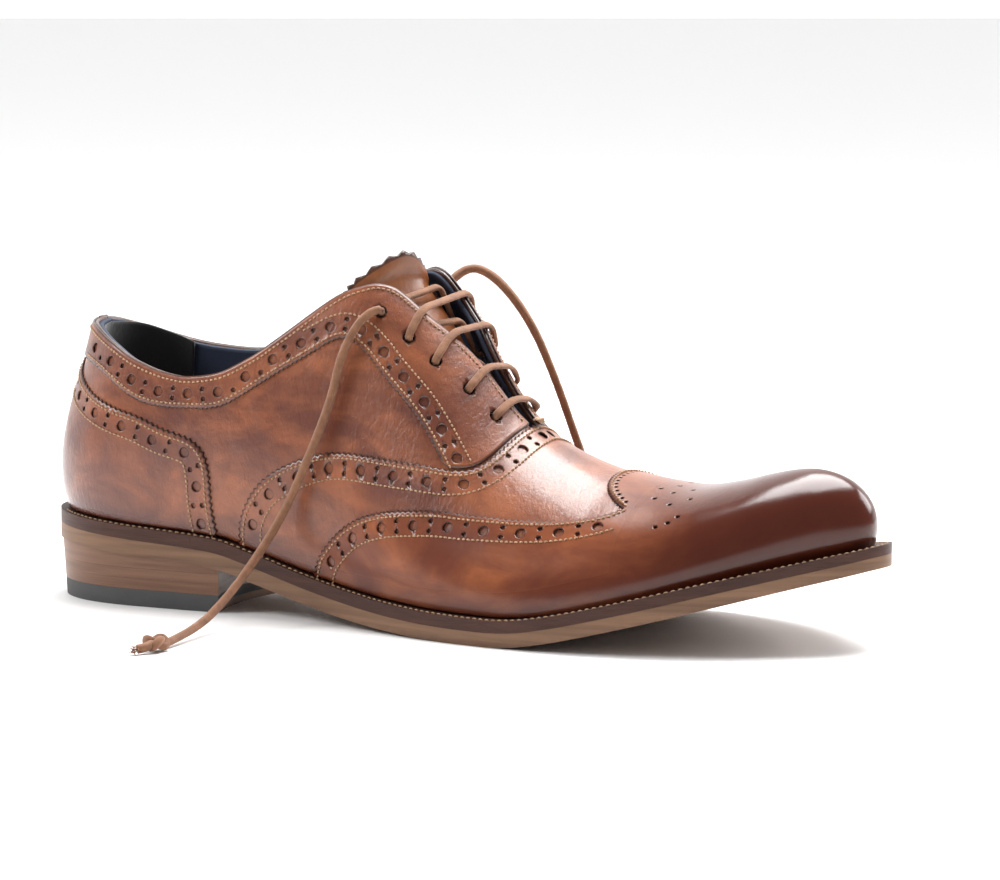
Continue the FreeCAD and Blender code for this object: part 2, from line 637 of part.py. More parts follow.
def bar(i):
    """Lace over the top, from the inner side to the outer side through eyelet i."""
    s, h = EYELETS[i]
    return [eyelet(i, 1, UNDER), eyelet(i, 1, ABOVE), over(1, s, TOP_LINE(s) - 0.02, ABOVE + 0.5),
            over(-1, s, TOP_LINE(s) - 0.02, ABOVE + 0.5), eyelet(i, -1, ABOVE), eyelet(i, -1, UNDER)]


def under(i):
    """Lace below the facings, from the outer eyelet i to the inner eyelet i + 1."""
    a, b = EYELETS[i][0], EYELETS[i + 1][0]
    return [over(-1, 0.7 * a + 0.3 * b, 0.92, UNDER), over(1, 0.3 * a + 0.7 * b, 0.92, UNDER)]


run = [eyelet(0, -1, R + 0.2), eyelet(0, -1, UNDER)]
for i in range(1, 5):
    run += under(i - 1) + bar(i)
run += [over(1, 0.556, 0.84, UNDER), over(1, 0.535, 0.745, UNDER), over(1, 0.47, 0.69, UNDER),
        over(1, 0.43, 0.70, UNDER), eyelet(0, 1, UNDER), eyelet(0, 1, R + 0.2)]
NODES["lace_crossings"] = tube(run, R, 2.6)

LATERAL_END = [eyelet(0, -1, R + 0.2), (127.6, -22.4, 106.0), (121.0, -27.4, 93.0), (119.2, -32.0, 76.0),
               (112.6, -35.6, 57.0), (104.0, -37.0, 38.0), (98.0, -44.0, 24.0), (95.5, -62.0, 11.0),
               (95.0, -84.0, 2.6), (96.4, -108.0, 1.7)]
MEDIAL_END = [eyelet(0, 1, R + 0.2), (136.0, 34.0, 117.5), (146.5, 37.0, 114.5), (157.5, 43.0, 98.5),
              (164.0, 50.0, 77.0), (169.5, 56.0, 54.5), (173.0, 66.0, 33.3), (174.5, 77.0, 14.2),
              (173.5, 92.5, 2.6), (167.0, 112.0, 1.7)]
KNOT_LONG = 11.0
KNOT_ROUND = 3.4
for name, points in (("lateral", LATERAL_END), ("medial", MEDIAL_END)):
    points = [V(*p) for p in points]
    NODES["lace_end_" + name] = tube(points, R, 14.0)
    along = (points[-1] - points[-2]).normalize()
    knot = Part.makeSphere(KNOT_ROUND)
    squash = FreeCAD.Matrix()
    squash.scale(1.5, 1.0, 0.9)
    knot = knot.transformGeometry(squash)
    knot.rotate(V(0, 0, 0), V(0, 0, 1), math.degrees(math.atan2(along.y, along.x)))
    centre = points[-1] + along * (KNOT_ROUND * 1.5 - 1.0)
    knot.translate(V(centre.x, centre.y, KNOT_ROUND * 0.9 + 0.05))
    NODES["knot_" + name] = knot.cut(NODES["lace_end_" + name])

s_tack = 0.566
tack = Part.makeCylinder(1.0, 7.0, V(0, -3.5, 0), V(0, 1, 0))
tack = tack.fuse(Part.makeCylinder(1.0, 7.0, V(1.6, -3.5, 0), V(0, 1, 0))).removeSplitter()
place = over(-1, s_tack, 1.0, 1.1)
tack.translate(place)
NODES["bar_tack"] = tack.Solids[0]

# ---------------------------------------------------------------- export
for name, shape in NODES.items():
    piece = shape.copy()
    piece.translate(V(SHIFT_X, SHIFT_Y, 0))
    if len(piece.Solids) == 1:
        piece = piece.Solids[0]
    piece.exportStep("parts/%s.step" % name)
print(len(NODES), "nodes; box of the shoe without its cords:")
total = Part.makeCompound([v for k, v in NODES.items() if not k.startswith(("lace_end", "knot"))])
box = total.optimalBoundingBox()
print([round(v, 2) for v in (box.XMin, box.XMax, box.YMin, box.YMax, box.ZMin, box.ZMax)])
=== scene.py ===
import json
import math
import random
import bpy
import numpy as np
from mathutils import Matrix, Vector, noise
from mathutils.geometry import delaunay_2d_cdt
from mathutils.kdtree import KDTree

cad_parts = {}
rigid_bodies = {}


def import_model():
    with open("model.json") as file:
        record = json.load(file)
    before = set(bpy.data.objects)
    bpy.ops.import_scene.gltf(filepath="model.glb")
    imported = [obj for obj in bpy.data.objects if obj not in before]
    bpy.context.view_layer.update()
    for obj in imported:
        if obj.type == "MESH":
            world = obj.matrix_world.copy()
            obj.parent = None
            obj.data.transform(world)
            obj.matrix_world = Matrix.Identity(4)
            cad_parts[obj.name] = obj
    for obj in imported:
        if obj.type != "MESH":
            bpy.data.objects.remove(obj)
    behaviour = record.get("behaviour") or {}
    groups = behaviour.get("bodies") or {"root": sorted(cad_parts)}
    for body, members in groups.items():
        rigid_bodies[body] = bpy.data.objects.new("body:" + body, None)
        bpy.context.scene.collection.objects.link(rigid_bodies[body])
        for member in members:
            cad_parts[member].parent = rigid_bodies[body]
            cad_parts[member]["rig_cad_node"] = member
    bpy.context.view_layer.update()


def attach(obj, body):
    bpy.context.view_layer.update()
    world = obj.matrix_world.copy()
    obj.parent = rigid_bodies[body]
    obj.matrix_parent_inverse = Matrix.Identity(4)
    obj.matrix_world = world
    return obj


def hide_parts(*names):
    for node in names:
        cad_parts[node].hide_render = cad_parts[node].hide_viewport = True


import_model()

# Looks of the brogued oxford.  Shape functions work in mm in the design frame of the solids;
# SHIFT moves them to the frame's origin and MM turns them into metres.
MM = 0.001
SHIFT = np.array([-153.6, 0.8, 0.0])
UP = np.array([0.0, 0.0, 1.0])
rng = random.Random(7)


def unit(v):
    """Vectors along the last axis, scaled to length 1."""
    return v / np.linalg.norm(v, axis=-1, keepdims=True)


def put(name, data):
    obj = bpy.data.objects.new(name, data)
    bpy.context.scene.collection.objects.link(obj)
    return obj


def mesh_object(name, verts, faces, **attributes):
    """Smooth mesh from points in mm, with one number per point for each named attribute."""
    me = bpy.data.meshes.new(name)
    me.from_pydata([tuple(v) for v in (np.asarray(verts) + SHIFT) * MM], [],
                   [tuple(map(int, f)) for f in faces])
    for key, values in attributes.items():
        me.attributes.new(key, "FLOAT", "POINT").data.foreach_set("value", np.asarray(values, np.float32))
    me.shade_smooth()
    me.validate()
    return put(name, me)


# ---------------------------------------------------------------- shape, as in the solids
TOE_X = 303.0
LATERAL = [(0, 0), (5, -14), (20, -25.5), (48, -29.5), (80, -29.5), (112, -32), (145, -40),
           (175, -47), (202, -49.5), (228, -47), (252, -40), (274, -29), (292, -14.5)]
TIP = (TOE_X, 0)
MEDIAL = [(5, 14), (20, 25), (48, 28.5), (80, 27), (112, 25.5), (145, 30), (175, 39.5),
          (202, 46.5), (228, 47.5), (252, 43), (274, 32), (292, 16.5)]


class Loop:
    """Closed cubic spline of one coordinate, period 1."""

    def __init__(self, knots, values):
        n = len(knots)
        self.t = np.array(list(knots) + [knots[0] + 1.0])
        self.y = np.array(list(values) + [values[0]], float)
        h = np.diff(self.t)
        a = np.zeros((n, n))
        b = np.zeros(n)
        for i in range(n):
            a[i, i - 1] += h[i - 1]
            a[i, i] += 2 * (h[i - 1] + h[i])
            a[i, (i + 1) % n] += h[i]
            before = self.y[i - 1 if i else n - 1]
            b[i] = 6 * ((self.y[i + 1] - self.y[i]) / h[i] - (self.y[i] - before) / h[i - 1])
        m = np.linalg.solve(a, b)
        self.m = np.append(m, m[0])

    def __call__(self, t):
        t = (np.asarray(t, float) - self.t[0]) % 1.0 + self.t[0]
        i = np.clip(np.searchsorted(self.t, t, side="left") - 1, 0, len(self.t) - 2)
        h = self.t[i + 1] - self.t[i]
        a = (self.t[i + 1] - t) / h
        b = 1 - a
        return (a * self.y[i] + b * self.y[i + 1]
                + ((a ** 3 - a) * self.m[i] + (b ** 3 - b) * self.m[i + 1]) * h * h / 6)


class Graph:
    """Smooth curve through (x, y) points that never overshoots them."""

    def __init__(self, *points):
        self.x = np.array([p[0] for p in points], float)
        self.y = np.array([p[1] for p in points], float)
        d = np.diff(self.y) / np.diff(self.x)
        g = [d[0]]
        for i in range(1, len(points) - 1):
            if d[i - 1] * d[i] <= 0:
                g.append(0.0)
            else:
                h0, h1 = self.x[i] - self.x[i - 1], self.x[i + 1] - self.x[i]
                w0, w1 = 2 * h1 + h0, h1 + 2 * h0
                g.append((w0 + w1) / (w0 / d[i - 1] + w1 / d[i]))
        self.g = np.array(g + [d[-1]])

    def __call__(self, x):
        x = np.clip(np.asarray(x, float), self.x[0], self.x[-1])
        i = np.clip(np.searchsorted(self.x, x, side="left") - 1, 0, len(self.x) - 2)
        h = self.x[i + 1] - self.x[i]
        u = (x - self.x[i]) / h
        return ((1 + 2 * u) * (1 - u) ** 2 * self.y[i] + u * (1 - u) ** 2 * h * self.g[i]
                + u * u * (3 - 2 * u) * self.y[i + 1] + u * u * (u - 1) * h * self.g[i + 1])


BOTTOM = Graph((-6, 20.8), (0, 20.5), (36, 18.2), (72, 15.7), (90, 11.3), (110, 6.2), (128, 3.1),
               (145, 1.3), (165, 0.2), (178, 0.0), (188, 0.0), (198, 0.6), (210, 2.6), (229, 7.0),
               (245, 11.1), (261, 15.4), (289, 22.8), (311, 28.2))
THICK = Graph((0, 10.0), (100, 10.0), (150, 9.2), (200, 8.8), (250, 8.6), (303, 7.6))
WELT_OUT = Graph((0, 2.8), (72, 3.0), (120, 4.2), (175, 6.0), (250, 6.6), (303, 7.0))
CREST_X = Graph((0, 12.5), (5, 15), (12, 20.5), (20, 28.5), (30, 38), (60, 68), (90, 98), (118, 122),
                (135, 143), (155, 163), (170, 178), (190, 197), (215, 219), (240, 240), (262, 257),
                (280, 268), (292, 275), (303, 280))
CREST_Z = Graph((12, 110), (38, 112), (68, 117), (98, 122), (118, 123.5), (128, 120), (137, 114.5),
                (147, 106.5), (156, 98), (165, 87.5), (173, 77), (178, 70.5), (186, 64.6),
                (197, 58.6), (219, 52.0), (240, 49.8), (257, 52.5), (268, 55.5), (276, 57.3), (280, 57.9))
MEDIAL_RISE = Graph((98, 0), (118, 5), (128, 9), (137, 10.5), (149, 7), (156, 5), (165, 1.5), (178, 0))
MEDIAL_OPEN = Graph((85, 0), (105, 5), (122, 10), (135, 9), (150, 4.5), (165, 1), (175, 0))
CREST_Y = Graph((0, 0), (1, 4), (5, 10), (12, 16), (20, 20), (30, 22.5), (60, 21.5), (90, 12),
                (118, 4.0), (140, 2.0), (165, 0), (303, 0))
LOW_UP = Graph((0, 26), (50, 28), (85, 30), (118, 34), (150, 31), (175, 24), (215, 18), (250, 16),
               (285, 14), (303, 13))
LOW_OUT = Graph((0, 9), (50, 5), (85, 4), (118, 4), (150, 5), (175, 5), (215, 4), (250, 4.5),
                (285, 5.5), (303, 6))
HIGH_OUT = Graph((0, 30), (50, 30), (90, 27), (118, 24), (150, 26), (175, 29), (215, 30), (250, 27),
                 (285, 22), (303, 18))
HIGH_DROP = Graph((0, 34), (50, 34), (90, 22), (118, 10), (150, 6), (175, 3), (200, 0), (303, 0))
MEDIAL_DROP = Graph((90, 0), (118, 9), (135, 10), (155, 4), (170, 0))
HIGH_LEAN = Graph((0, 0.0), (25, 0.22), (60, 0.3), (90, 0.7), (118, 1.0), (303, 1.0))
FAN = Graph((0, 0), (225, 0), (262, 22), (280, 45), (292, 66), (303, 90))
RIBS = 360
SMOOTHING = 10
CREST_JOIN = (0.48, 0.56)


def shares(points):
    total = [0.0]
    for a, b in zip(points, points[1:]):
        total.append(total[-1] + math.dist(a, b))
    return [v / total[-1] * 0.5 for v in total]


KNOTS = shares(LATERAL + [TIP]) + [1 - v for v in shares([LATERAL[0]] + MEDIAL + [TIP])[1:-1]][::-1]
POINTS = LATERAL + [TIP] + MEDIAL[::-1]
OUT_X = Loop(KNOTS, [p[0] for p in POINTS])
OUT_Y = Loop(KNOTS, [p[1] for p in POINTS])


def outward(t, step=1e-4):
    dx = OUT_X(t + step) - OUT_X(t - step)
    dy = OUT_Y(t + step) - OUT_Y(t - step)
    size = np.hypot(dx, dy)
    return dy / size, -dx / size


def ground(x):
    """Height of the outsole's upper side."""
    return BOTTOM(x) + THICK(x)


def make_ribs():
    """Control points of the upper's cross-sections, from the feather line up to the crest."""
    t = np.arange(RIBS) / RIBS
    side = np.where(t <= 0.5, -1.0, 1.0)
    x, y = OUT_X(t), OUT_Y(t)
    nx, ny = outward(t)
    cx = CREST_X(x)
    inner = side > 0
    cz = CREST_Z(cx) + np.where(inner, MEDIAL_RISE(cx), 0)
    slope = np.where((cx > 118) & (cx < 279), (CREST_Z(cx + 1) - CREST_Z(cx - 1)) / 2,
                     np.where(cx <= 118, 0, 0.1))
    fan, reach, lean = np.radians(FAN(x)), HIGH_OUT(x), HIGH_LEAN(x)
    drop = HIGH_DROP(x) + np.where(inner, MEDIAL_DROP(x), 0)
    half = CREST_Y(x) + np.where(inner, MEDIAL_OPEN(x), 0)
    z = ground(x)
    ribs = np.empty((RIBS, 4, 3))
    ribs[:, 0] = np.stack([x, y, z], 1)
    ribs[:, 1] = np.stack([x + nx * LOW_OUT(x), y + ny * LOW_OUT(x), z + LOW_UP(x)], 1)
    ribs[:, 2] = np.stack([cx + reach * np.sin(fan) - 4 * (1 - lean),
                           side * (half + reach * np.cos(fan) * lean),
                           cz + slope * reach * np.sin(fan) - drop], 1)
    ribs[:, 3] = np.stack([cx, side * half, cz], 1)
    for _ in range(SMOOTHING):
        v = ribs[:, 1:].copy()
        ribs[:, 1:] = (np.roll(v, 1, 0) + 2 * v + np.roll(v, -1, 0)) / 4
    for i in range(RIBS // 2 + 1):
        share = min(max((i / (RIBS / 2) - CREST_JOIN[0]) / (CREST_JOIN[1] - CREST_JOIN[0]), 0), 1)
        middle = (ribs[i, 3] + ribs[-i, 3]) / 2
        middle[1] = 0
        for k in {i, -i}:
            ribs[k, 3] = (1 - share) * ribs[k, 3] + share * middle
    ribs[0, :, 1] = 0
    ribs[RIBS // 2, :, 1] = 0
    return ribs


RIB = make_ribs()


def last(side, s, h):
    """Outer surface: s heel (0) to toe (1), h feather line (0) to crest (1)."""
    s, h = np.atleast_1d(np.asarray(s, float)), np.atleast_1d(np.asarray(h, float))
    t = np.where(np.asarray(side) < 0, s / 2, 1 - s / 2)
    u = (t % 1.0) * RIBS
    i = np.floor(u).astype(int) % RIBS
    f = (u - np.floor(u))[:, None, None]
    c = RIB[i] * (1 - f) + RIB[(i + 1) % RIBS] * f
    g = 1 - h
    w = np.stack([g ** 3, 3 * g * g * h, 3 * g * h * h, h ** 3], 1)[:, :, None]
    return (c * w).sum(1)


def slopes(side, s, h, e=0.004):
    s, h = np.atleast_1d(np.asarray(s, float)), np.atleast_1d(np.asarray(h, float))
    h = np.where(s > 0.93, np.minimum(h, 0.96), h)
    s0, s1, h0, h1 = np.maximum(s - e, 0), np.minimum(s + e, 1), np.maximum(h - e, 0), np.minimum(h + e, 1)
    ds = (last(side, s1, h) - last(side, s0, h)) / (s1 - s0)[:, None]
    dh = (last(side, s, h1) - last(side, s, h0)) / (h1 - h0)[:, None]
    return ds, dh


def normals(side, s, h):
    ds, dh = slopes(side, s, h)
    n = np.cross(ds, dh) * -side
    middle = np.abs(last(side, s, h)[:, 1]) < 1e-6
    n[middle, 1] = 0
    return unit(n)


def at(side, s, h, depth=0.0):
    return last(side, s, h) - normals(side, s, h) * np.reshape(depth, (-1, 1))


TOP_LINE = Graph((0.0, 0.868), (0.03, 0.862), (0.06, 0.850), (0.11, 0.785), (0.15, 0.71),
                 (0.19, 0.648), (0.215, 0.625), (0.245, 0.617), (0.28, 0.647), (0.305, 0.689),
                 (0.33, 0.732), (0.363, 0.786), (0.392, 0.838), (0.41, 0.885), (0.425, 0.905),
                 (0.452, 0.90), (0.478, 0.918), (0.505, 0.935), (0.533, 0.948), (0.56, 0.965),
                 (0.575, 0.985), (0.60, 1.0))
TOP_MEDIAL = Graph((0.0, 0.868), (0.03, 0.856), (0.06, 0.828), (0.085, 0.794), (0.125, 0.741),
                   (0.163, 0.707), (0.202, 0.681), (0.245, 0.668), (0.28, 0.682), (0.305, 0.705),
                   (0.34, 0.74), (0.376, 0.79), (0.404, 0.84), (0.421, 0.885), (0.434, 0.90),
                   (0.455, 0.895), (0.478, 0.913), (0.505, 0.93), (0.533, 0.945), (0.56, 0.965),
                   (0.575, 0.985), (0.60, 1.0))
VAMP_SEAM = [(0.287, 0.0), (0.288, 0.084), (0.295, 0.162), (0.309, 0.237), (0.328, 0.285),
             (0.358, 0.326), (0.388, 0.35), (0.417, 0.372), (0.463, 0.411), (0.503, 0.46),
             (0.532, 0.522), (0.548, 0.59), (0.557, 0.68), (0.561, 0.80), (0.563, 1.0)]
CAP_SEAM = [(0.38, 0.0), (0.386, 0.061), (0.40, 0.122), (0.419, 0.179), (0.444, 0.231),
            (0.474, 0.276), (0.51, 0.326), (0.542, 0.384), (0.574, 0.434), (0.615, 0.48),
            (0.657, 0.523), (0.687, 0.563), (0.708, 0.608), (0.718, 0.654)]
CAP_PEAK = [(0.718, 0.654), (0.694, 0.733), (0.676, 0.83), (0.668, 1.0)]
COUNTER_SEAM = [(0.012, 0.868), (0.016, 0.76), (0.04, 0.68), (0.073, 0.615), (0.101, 0.56),
                (0.133, 0.511), (0.165, 0.47), (0.195, 0.418), (0.226, 0.375), (0.243, 0.316),
                (0.25, 0.242), (0.253, 0.148), (0.257, 0.053), (0.26, 0.0)]
COLLAR_SEAM = [(0.0, 0.735), (0.05, 0.72), (0.081, 0.70), (0.117, 0.641), (0.155, 0.554),
               (0.186, 0.517), (0.221, 0.5), (0.256, 0.492), (0.287, 0.535), (0.324, 0.59),
               (0.364, 0.633), (0.391, 0.660), (0.402, 0.657), (0.436, 0.613), (0.468, 0.585),
               (0.501, 0.544), (0.525, 0.504)]
HEEL_TOP = (0.0, 0.868)
EYELETS = [(0.418, 0.783), (0.447, 0.768), (0.477, 0.770), (0.512, 0.797), (0.539, 0.826)]


def top_line(side):
    return TOP_LINE if side < 0 else TOP_MEDIAL


# ---------------------------------------------------------------- rows and outlines on the surface
# A row is an (n, 2) array of (s, h); distances along and across it are mm on the outer surface.
U_MM, V_MM = 330.0, 85.0            # rough mm per unit of s and of h, for laying out triangles
STEP = 1.15                         # spacing of the triangles
BIG, SMALL = 1.75, 0.8              # radii of the punched holes
STITCH = 1.75                       # pitch of the seams


def curve(points, n=240):
    """Natural cubic spline through a few (s, h) points."""
    p = np.array(points, float)
    d = along_path(p * (U_MM, V_MM))
    k = len(p)
    h = np.diff(d)
    a = np.eye(k)
    b = np.zeros((k, 2))
    for i in range(1, k - 1):
        a[i, i - 1:i + 2] = h[i - 1], 2 * (h[i - 1] + h[i]), h[i]
        b[i] = 6 * ((p[i + 1] - p[i]) / h[i] - (p[i] - p[i - 1]) / h[i - 1])
    m = np.linalg.solve(a, b)
    x = np.linspace(0, d[-1], n)
    i = np.clip(np.searchsorted(d, x) - 1, 0, k - 2)
    u, v = ((d[i + 1] - x) / h[i])[:, None], ((x - d[i]) / h[i])[:, None]
    hh = (h[i] ** 2 / 6)[:, None]
    return u * p[i] + v * p[i + 1] + ((u ** 3 - u) * m[i] + (v ** 3 - v) * m[i + 1]) * hh


def along_path(points):
    """Distance of each point from the first one."""
    return np.append(0, np.cumsum(np.linalg.norm(np.diff(points, axis=0), axis=1)))


def resample(points, distances, x):
    return np.stack([np.interp(x, distances, column) for column in points.T], 1)


def lengths(side, row):
    return along_path(last(side, row[:, 0], row[:, 1]))


def walk(side, row, step, start=0.0, stop=None, ends=True):
    """The row sampled at an even spacing; with ends it starts and stops at the row's own ends."""
    d = lengths(side, row)
    stop = d[-1] if stop is None else (stop if stop > 0 else d[-1] + stop)
    if ends:
        x = np.linspace(start, stop, max(int(round((stop - start) / step)), 1) + 1)
    else:
        x = np.arange(start, stop, step)
    return resample(row, d, x)


def to_plane(side, row, vectors):
    """(ds, dh) that move each point by the 3-D vectors."""
    a, b = slopes(side, row[:, 0], row[:, 1])
    aa, ab, bb = (a * a).sum(1), (a * b).sum(1), (b * b).sum(1)
    va, vb = (vectors * a).sum(1), (vectors * b).sum(1)
    det = aa * bb - ab * ab
    return np.stack([(va * bb - vb * ab) / det, (vb * aa - va * ab) / det], 1)


def sideways(side, row, distance):
    """The row moved to its left, as seen with s to the right and h up."""
    a, b = slopes(side, row[:, 0], row[:, 1])
    t = np.gradient(row, axis=0)
    ahead = unit(a * t[:, :1] + b * t[:, 1:])
    return row + to_plane(side, row, np.cross(unit(np.cross(a, b)), ahead) * np.reshape(distance, (-1, 1)))


def zigzag(side, row, pitch=2.3, depth=1.0):
    """A gimped edge along the row."""
    w = walk(side, row, pitch / 2)
    shift = np.where(np.arange(len(w)) % 2 == 0, -depth / 2, depth / 2)
    shift[0] = shift[-1] = 0
    return sideways(side, w, shift)


def ring(side, centre, radius, n):
    s, h = centre
    row = np.array([[s, h]])
    a, b = slopes(side, row[:, 0], row[:, 1])
    e1 = unit(a[0])
    e2 = np.cross(unit(np.cross(a[0], b[0])), e1)
    angle = np.arange(n) / n * 2 * math.pi
    v = radius * (np.cos(angle)[:, None] * e1 + np.sin(angle)[:, None] * e2)
    return row + to_plane(side, np.repeat(row, n, 0), v)


def brogue(side, row, centre, first=7.0, last_gap=6.0, pitch=12.7):
    """Large holes along a row's left side, with a pair of small holes between them."""
    base = sideways(side, walk(side, row, 0.5), centre)
    total = lengths(side, base)[-1]
    count = max(int((total - first - last_gap) // pitch), 1)
    pitch = (total - first - last_gap) / count
    big = walk(side, base, pitch, first, first + count * pitch + 0.01)
    mid = walk(side, base, pitch, first + pitch / 2, first + (count - 0.5) * pitch + 0.01)
    holes = [(tuple(c), BIG) for c in big]
    for shift in (-1.75, 1.75):
        holes += [(tuple(c), SMALL) for c in sideways(side, mid, shift)]
    return holes


# ---------------------------------------------------------------- panels
RIM = 0.5                           # width of the ring of points round a hole


def nearness(points):
    """A function that gives the distance from (u, v) to the nearest of the points."""
    tree = KDTree(len(points))
    for i, p in enumerate(points):
        tree.insert((*p, 0), i)
    tree.balance()
    return lambda u, v: tree.find((u, v, 0))[2]


EDGE_STRIP = 1.15                   # a row of points runs this far inside a cut edge
NEAR_FIXED, NEAR_ANY = 0.38, 0.62   # least distance of points: mm, and share of the grid's step


def layout(side, edges, holes=(), rows=(), step=STEP):
    """Triangles of a panel on the (s, h) plane.

    edges: (row, kind) around the panel, kind "cut" for a free edge and "join" where its halves meet.
    Returns points, triangles, how far each point sinks, whether it is on an edge, and the join order.
    """
    scale = np.array([U_MM, V_MM])
    outline = [p for row, _ in edges for p in row[:-1]]
    kind = [how for row, how in edges for _ in row[:-1]]
    faces = [list(range(len(outline)))]
    fixed, soft = list(outline), []     # soft points come with how far they sink
    for centre, radius in holes:
        n = 14 if radius > 1.2 else 9
        faces.append(list(range(len(fixed), len(fixed) + n)))
        fixed += list(ring(side, centre, radius, n))
        soft += [(p, 0.0) for p in ring(side, centre, radius + RIM, n)]
    fixed = np.array(fixed)
    for row, depth in rows:
        soft += [(p, depth) for p in walk(side, row, 1.1)]
    inwards = 1 if area(np.array(outline)) > 0 else -1
    for row, how in edges:
        if how == "cut" and len(row) > 6:
            w = walk(side, row, 1.0, 1.0, -1.0)
            soft += [(p, 0.0) for p in sideways(side, w, EDGE_STRIP * inwards)]
    near = nearness(fixed * scale)
    soft = [(p, depth) for p, depth in soft if near(*(p * scale)) > NEAR_FIXED]
    points = np.vstack([fixed] + [p for p, _ in soft])
    near = nearness(points * scale)
    low, high = (np.array(outline) * scale).min(0), (np.array(outline) * scale).max(0)
    grid = []
    for j, v in enumerate(np.arange(low[1], high[1], step * 0.866)):
        for u in np.arange(low[0] + (j % 2) * step / 2, high[0], step):
            if near(u, v) > NEAR_ANY * step:
                grid.append((u / U_MM, v / V_MM))
    points = np.vstack([points] + grid)
    loops = [f if area(points[f]) > 0 else f[::-1] for f in faces]
    out = delaunay_2d_cdt([Vector(p) for p in points * scale], [], loops, 0, 1e-6, True)
    tris = np.array([f for f, ids in zip(out[2], out[5]) if 0 in ids and len(ids) == 1])
    used, tris = np.unique(tris, return_inverse=True)
    tris = tris.reshape(-1, 3)
    verts = (np.array([tuple(v) for v in out[0]]) / scale)[used]
    origin = np.array([o[0] if o else -1 for o in out[3]])[used]
    sink, join = np.zeros(len(verts)), np.full(len(verts), -1)
    for k, o in enumerate(origin):
        if len(fixed) <= o < len(fixed) + len(soft):
            sink[k] = soft[o - len(fixed)][1]
        if 0 <= o < len(outline) and "join" in (kind[o], kind[o - 1]):
            join[k] = o
    rim = (origin >= 0) & (origin < len(fixed))
    return verts, tris, sink, rim, join


def area(loop):
    x, y = loop[:, 0], loop[:, 1]
    return (x * np.roll(y, -1) - y * np.roll(x, -1)).sum() / 2


def creases(p, amount):
    """Fine folds of a worn upper: smooth noise stretched across the shoe."""
    wide, fine = [np.array([noise.noise(tuple(q)) for q in p * scale])
                  for scale in ((0.05, 0.022, 0.022), (0.16, 0.07, 0.07))]
    return (wide + 0.4 * fine) * amount


def folded_normals(p, n, amount):
    """Normals of the smooth surface once its folds are in it."""
    if not amount:
        return n
    step, level = 0.5, creases(p, amount)
    slope = np.stack([(creases(p + step * axis, amount) - level) / step for axis in np.eye(3)], 1)
    slope -= n * (slope * n).sum(1)[:, None]
    return unit(n - slope)


ROLLED = 0.22                       # how far a cut edge is rolled down
WELD = 2.0                          # halves this near each other along the middle are one


def burnish(p):
    """0 tan to 1 dark red-brown: burnished toe and heel, plus painted shade along the lower edge all round by
    the welt.
    """
    x, z = p[:, 0], p[:, 2]
    rise = z - ground(x)
    toe = np.clip((x - 212) / 62, 0, 1)
    toe = toe * toe * (3 - 2 * toe)
    # painted shade: the upper darkens in a band just above the welt, widening towards the toe
    low = np.clip(1 - rise / (9 + 10 * np.clip((x - 120) / 150, 0, 1)), 0, 1) * 0.55
    heel = np.clip((16 - x) / 22, 0, 1) * 0.3
    return np.clip(np.maximum(toe, low) + heel, 0, 1)


def build(name, parts, top, bottom, folds=0.0):
    """Closed thick panel from one or two laid-out halves: parts is [(side, layout), ...]."""
    verts, faces, edge, tone, shade = [], [], [], [], []
    start = []
    for side, (sh, tris, sink, rim, join) in parts:
        s, h = sh[:, 0], sh[:, 1]
        base, n = last(side, s, h), normals(side, s, h)
        fold = creases(base, folds) if folds else 0
        cut = rim & (join < 0)
        up = base - n * (top + sink + np.where(cut, ROLLED, 0.0) - fold)[:, None]
        off, count = sum(map(len, verts)), len(sh)
        start.append(off)
        verts += [up, base - n * bottom]
        t = tris[:, ::-1] if side > 0 else tris
        faces += [t + off, t[:, ::-1] + off + count]
        pairs = dict.fromkeys(e for a, b, c in t for e in ((a, b), (b, c), (c, a)))
        for a, b in pairs:
            if (b, a) not in pairs and not (join[a] >= 0 and join[b] >= 0 and abs(join[a] - join[b]) == 1):
                a, b = a + off, b + off
                faces.append(np.array([[b, a, a + count], [b, a + count, b + count]]))
        # cut marks dyed cut edges and the rims of punched holes, which take painted shade
        edge += [cut, cut]
        # burnish at toe and heel, and painted shade low by the welt
        tone += [burnish(base)] * 2
        plain_skin = ((sink == 0) & ~rim)[:, None]
        shade += [np.where(plain_skin, folded_normals(base, n, folds), 0.0), np.zeros_like(base)]
    v, shade = np.vstack(verts), np.vstack(shade)
    f = np.vstack(faces)
    e, b = np.concatenate(edge), np.concatenate(tone)
    if len(parts) == 2:                 # both halves have the same layout: weld them along the middle
        target = np.arange(len(v))
        for k in np.flatnonzero(join >= 0):
            for ia in (k, k + count):
                ib = start[1] + ia
                if np.linalg.norm(v[ia] - v[ib]) < WELD:
                    v[ia] = (v[ia] + v[ib]) / 2
                    v[ia, 1] = 0
                    shade[ia] = 0
                    target[ib] = ia
        used, f = np.unique(target[f], return_inverse=True)
        f, v, e, b, shade = f.reshape(-1, 3), v[used], e[used], b[used], shade[used]
    obj = mesh_object(name, v, f, edge=e, burn=b)
    found = np.empty(3 * len(v), np.float32)
    obj.data.vertex_normals.foreach_get("vector", found)
    given = np.abs(shade).sum(1) > 0
    shade = np.where(given[:, None], shade, found.reshape(-1, 3))
    obj.data.normals_split_custom_set_from_vertices(shade.tolist())
    return obj


# ---------------------------------------------------------------- small repeated pieces
def joined(name, items):
    """One mesh from (verts, faces) in mm, each kept apart."""
    verts, faces, n = [], [], 0
    for v, f in items:
        verts.append(v)
        faces += [tuple(int(k) + n for k in face) for face in f]
        n += len(v)
    return mesh_object(name, np.vstack(verts), faces)


def tube_faces(rings, sides):
    """Faces of a closed tube whose points go ring by ring."""
    faces = []
    for r in range(0, (rings - 1) * sides, sides):
        for k in range(sides):
            faces.append((r + k, r + (k + 1) % sides, r + sides + (k + 1) % sides, r + sides + k))
    return faces + [tuple(range(sides))[::-1], tuple(range((rings - 1) * sides, rings * sides))]


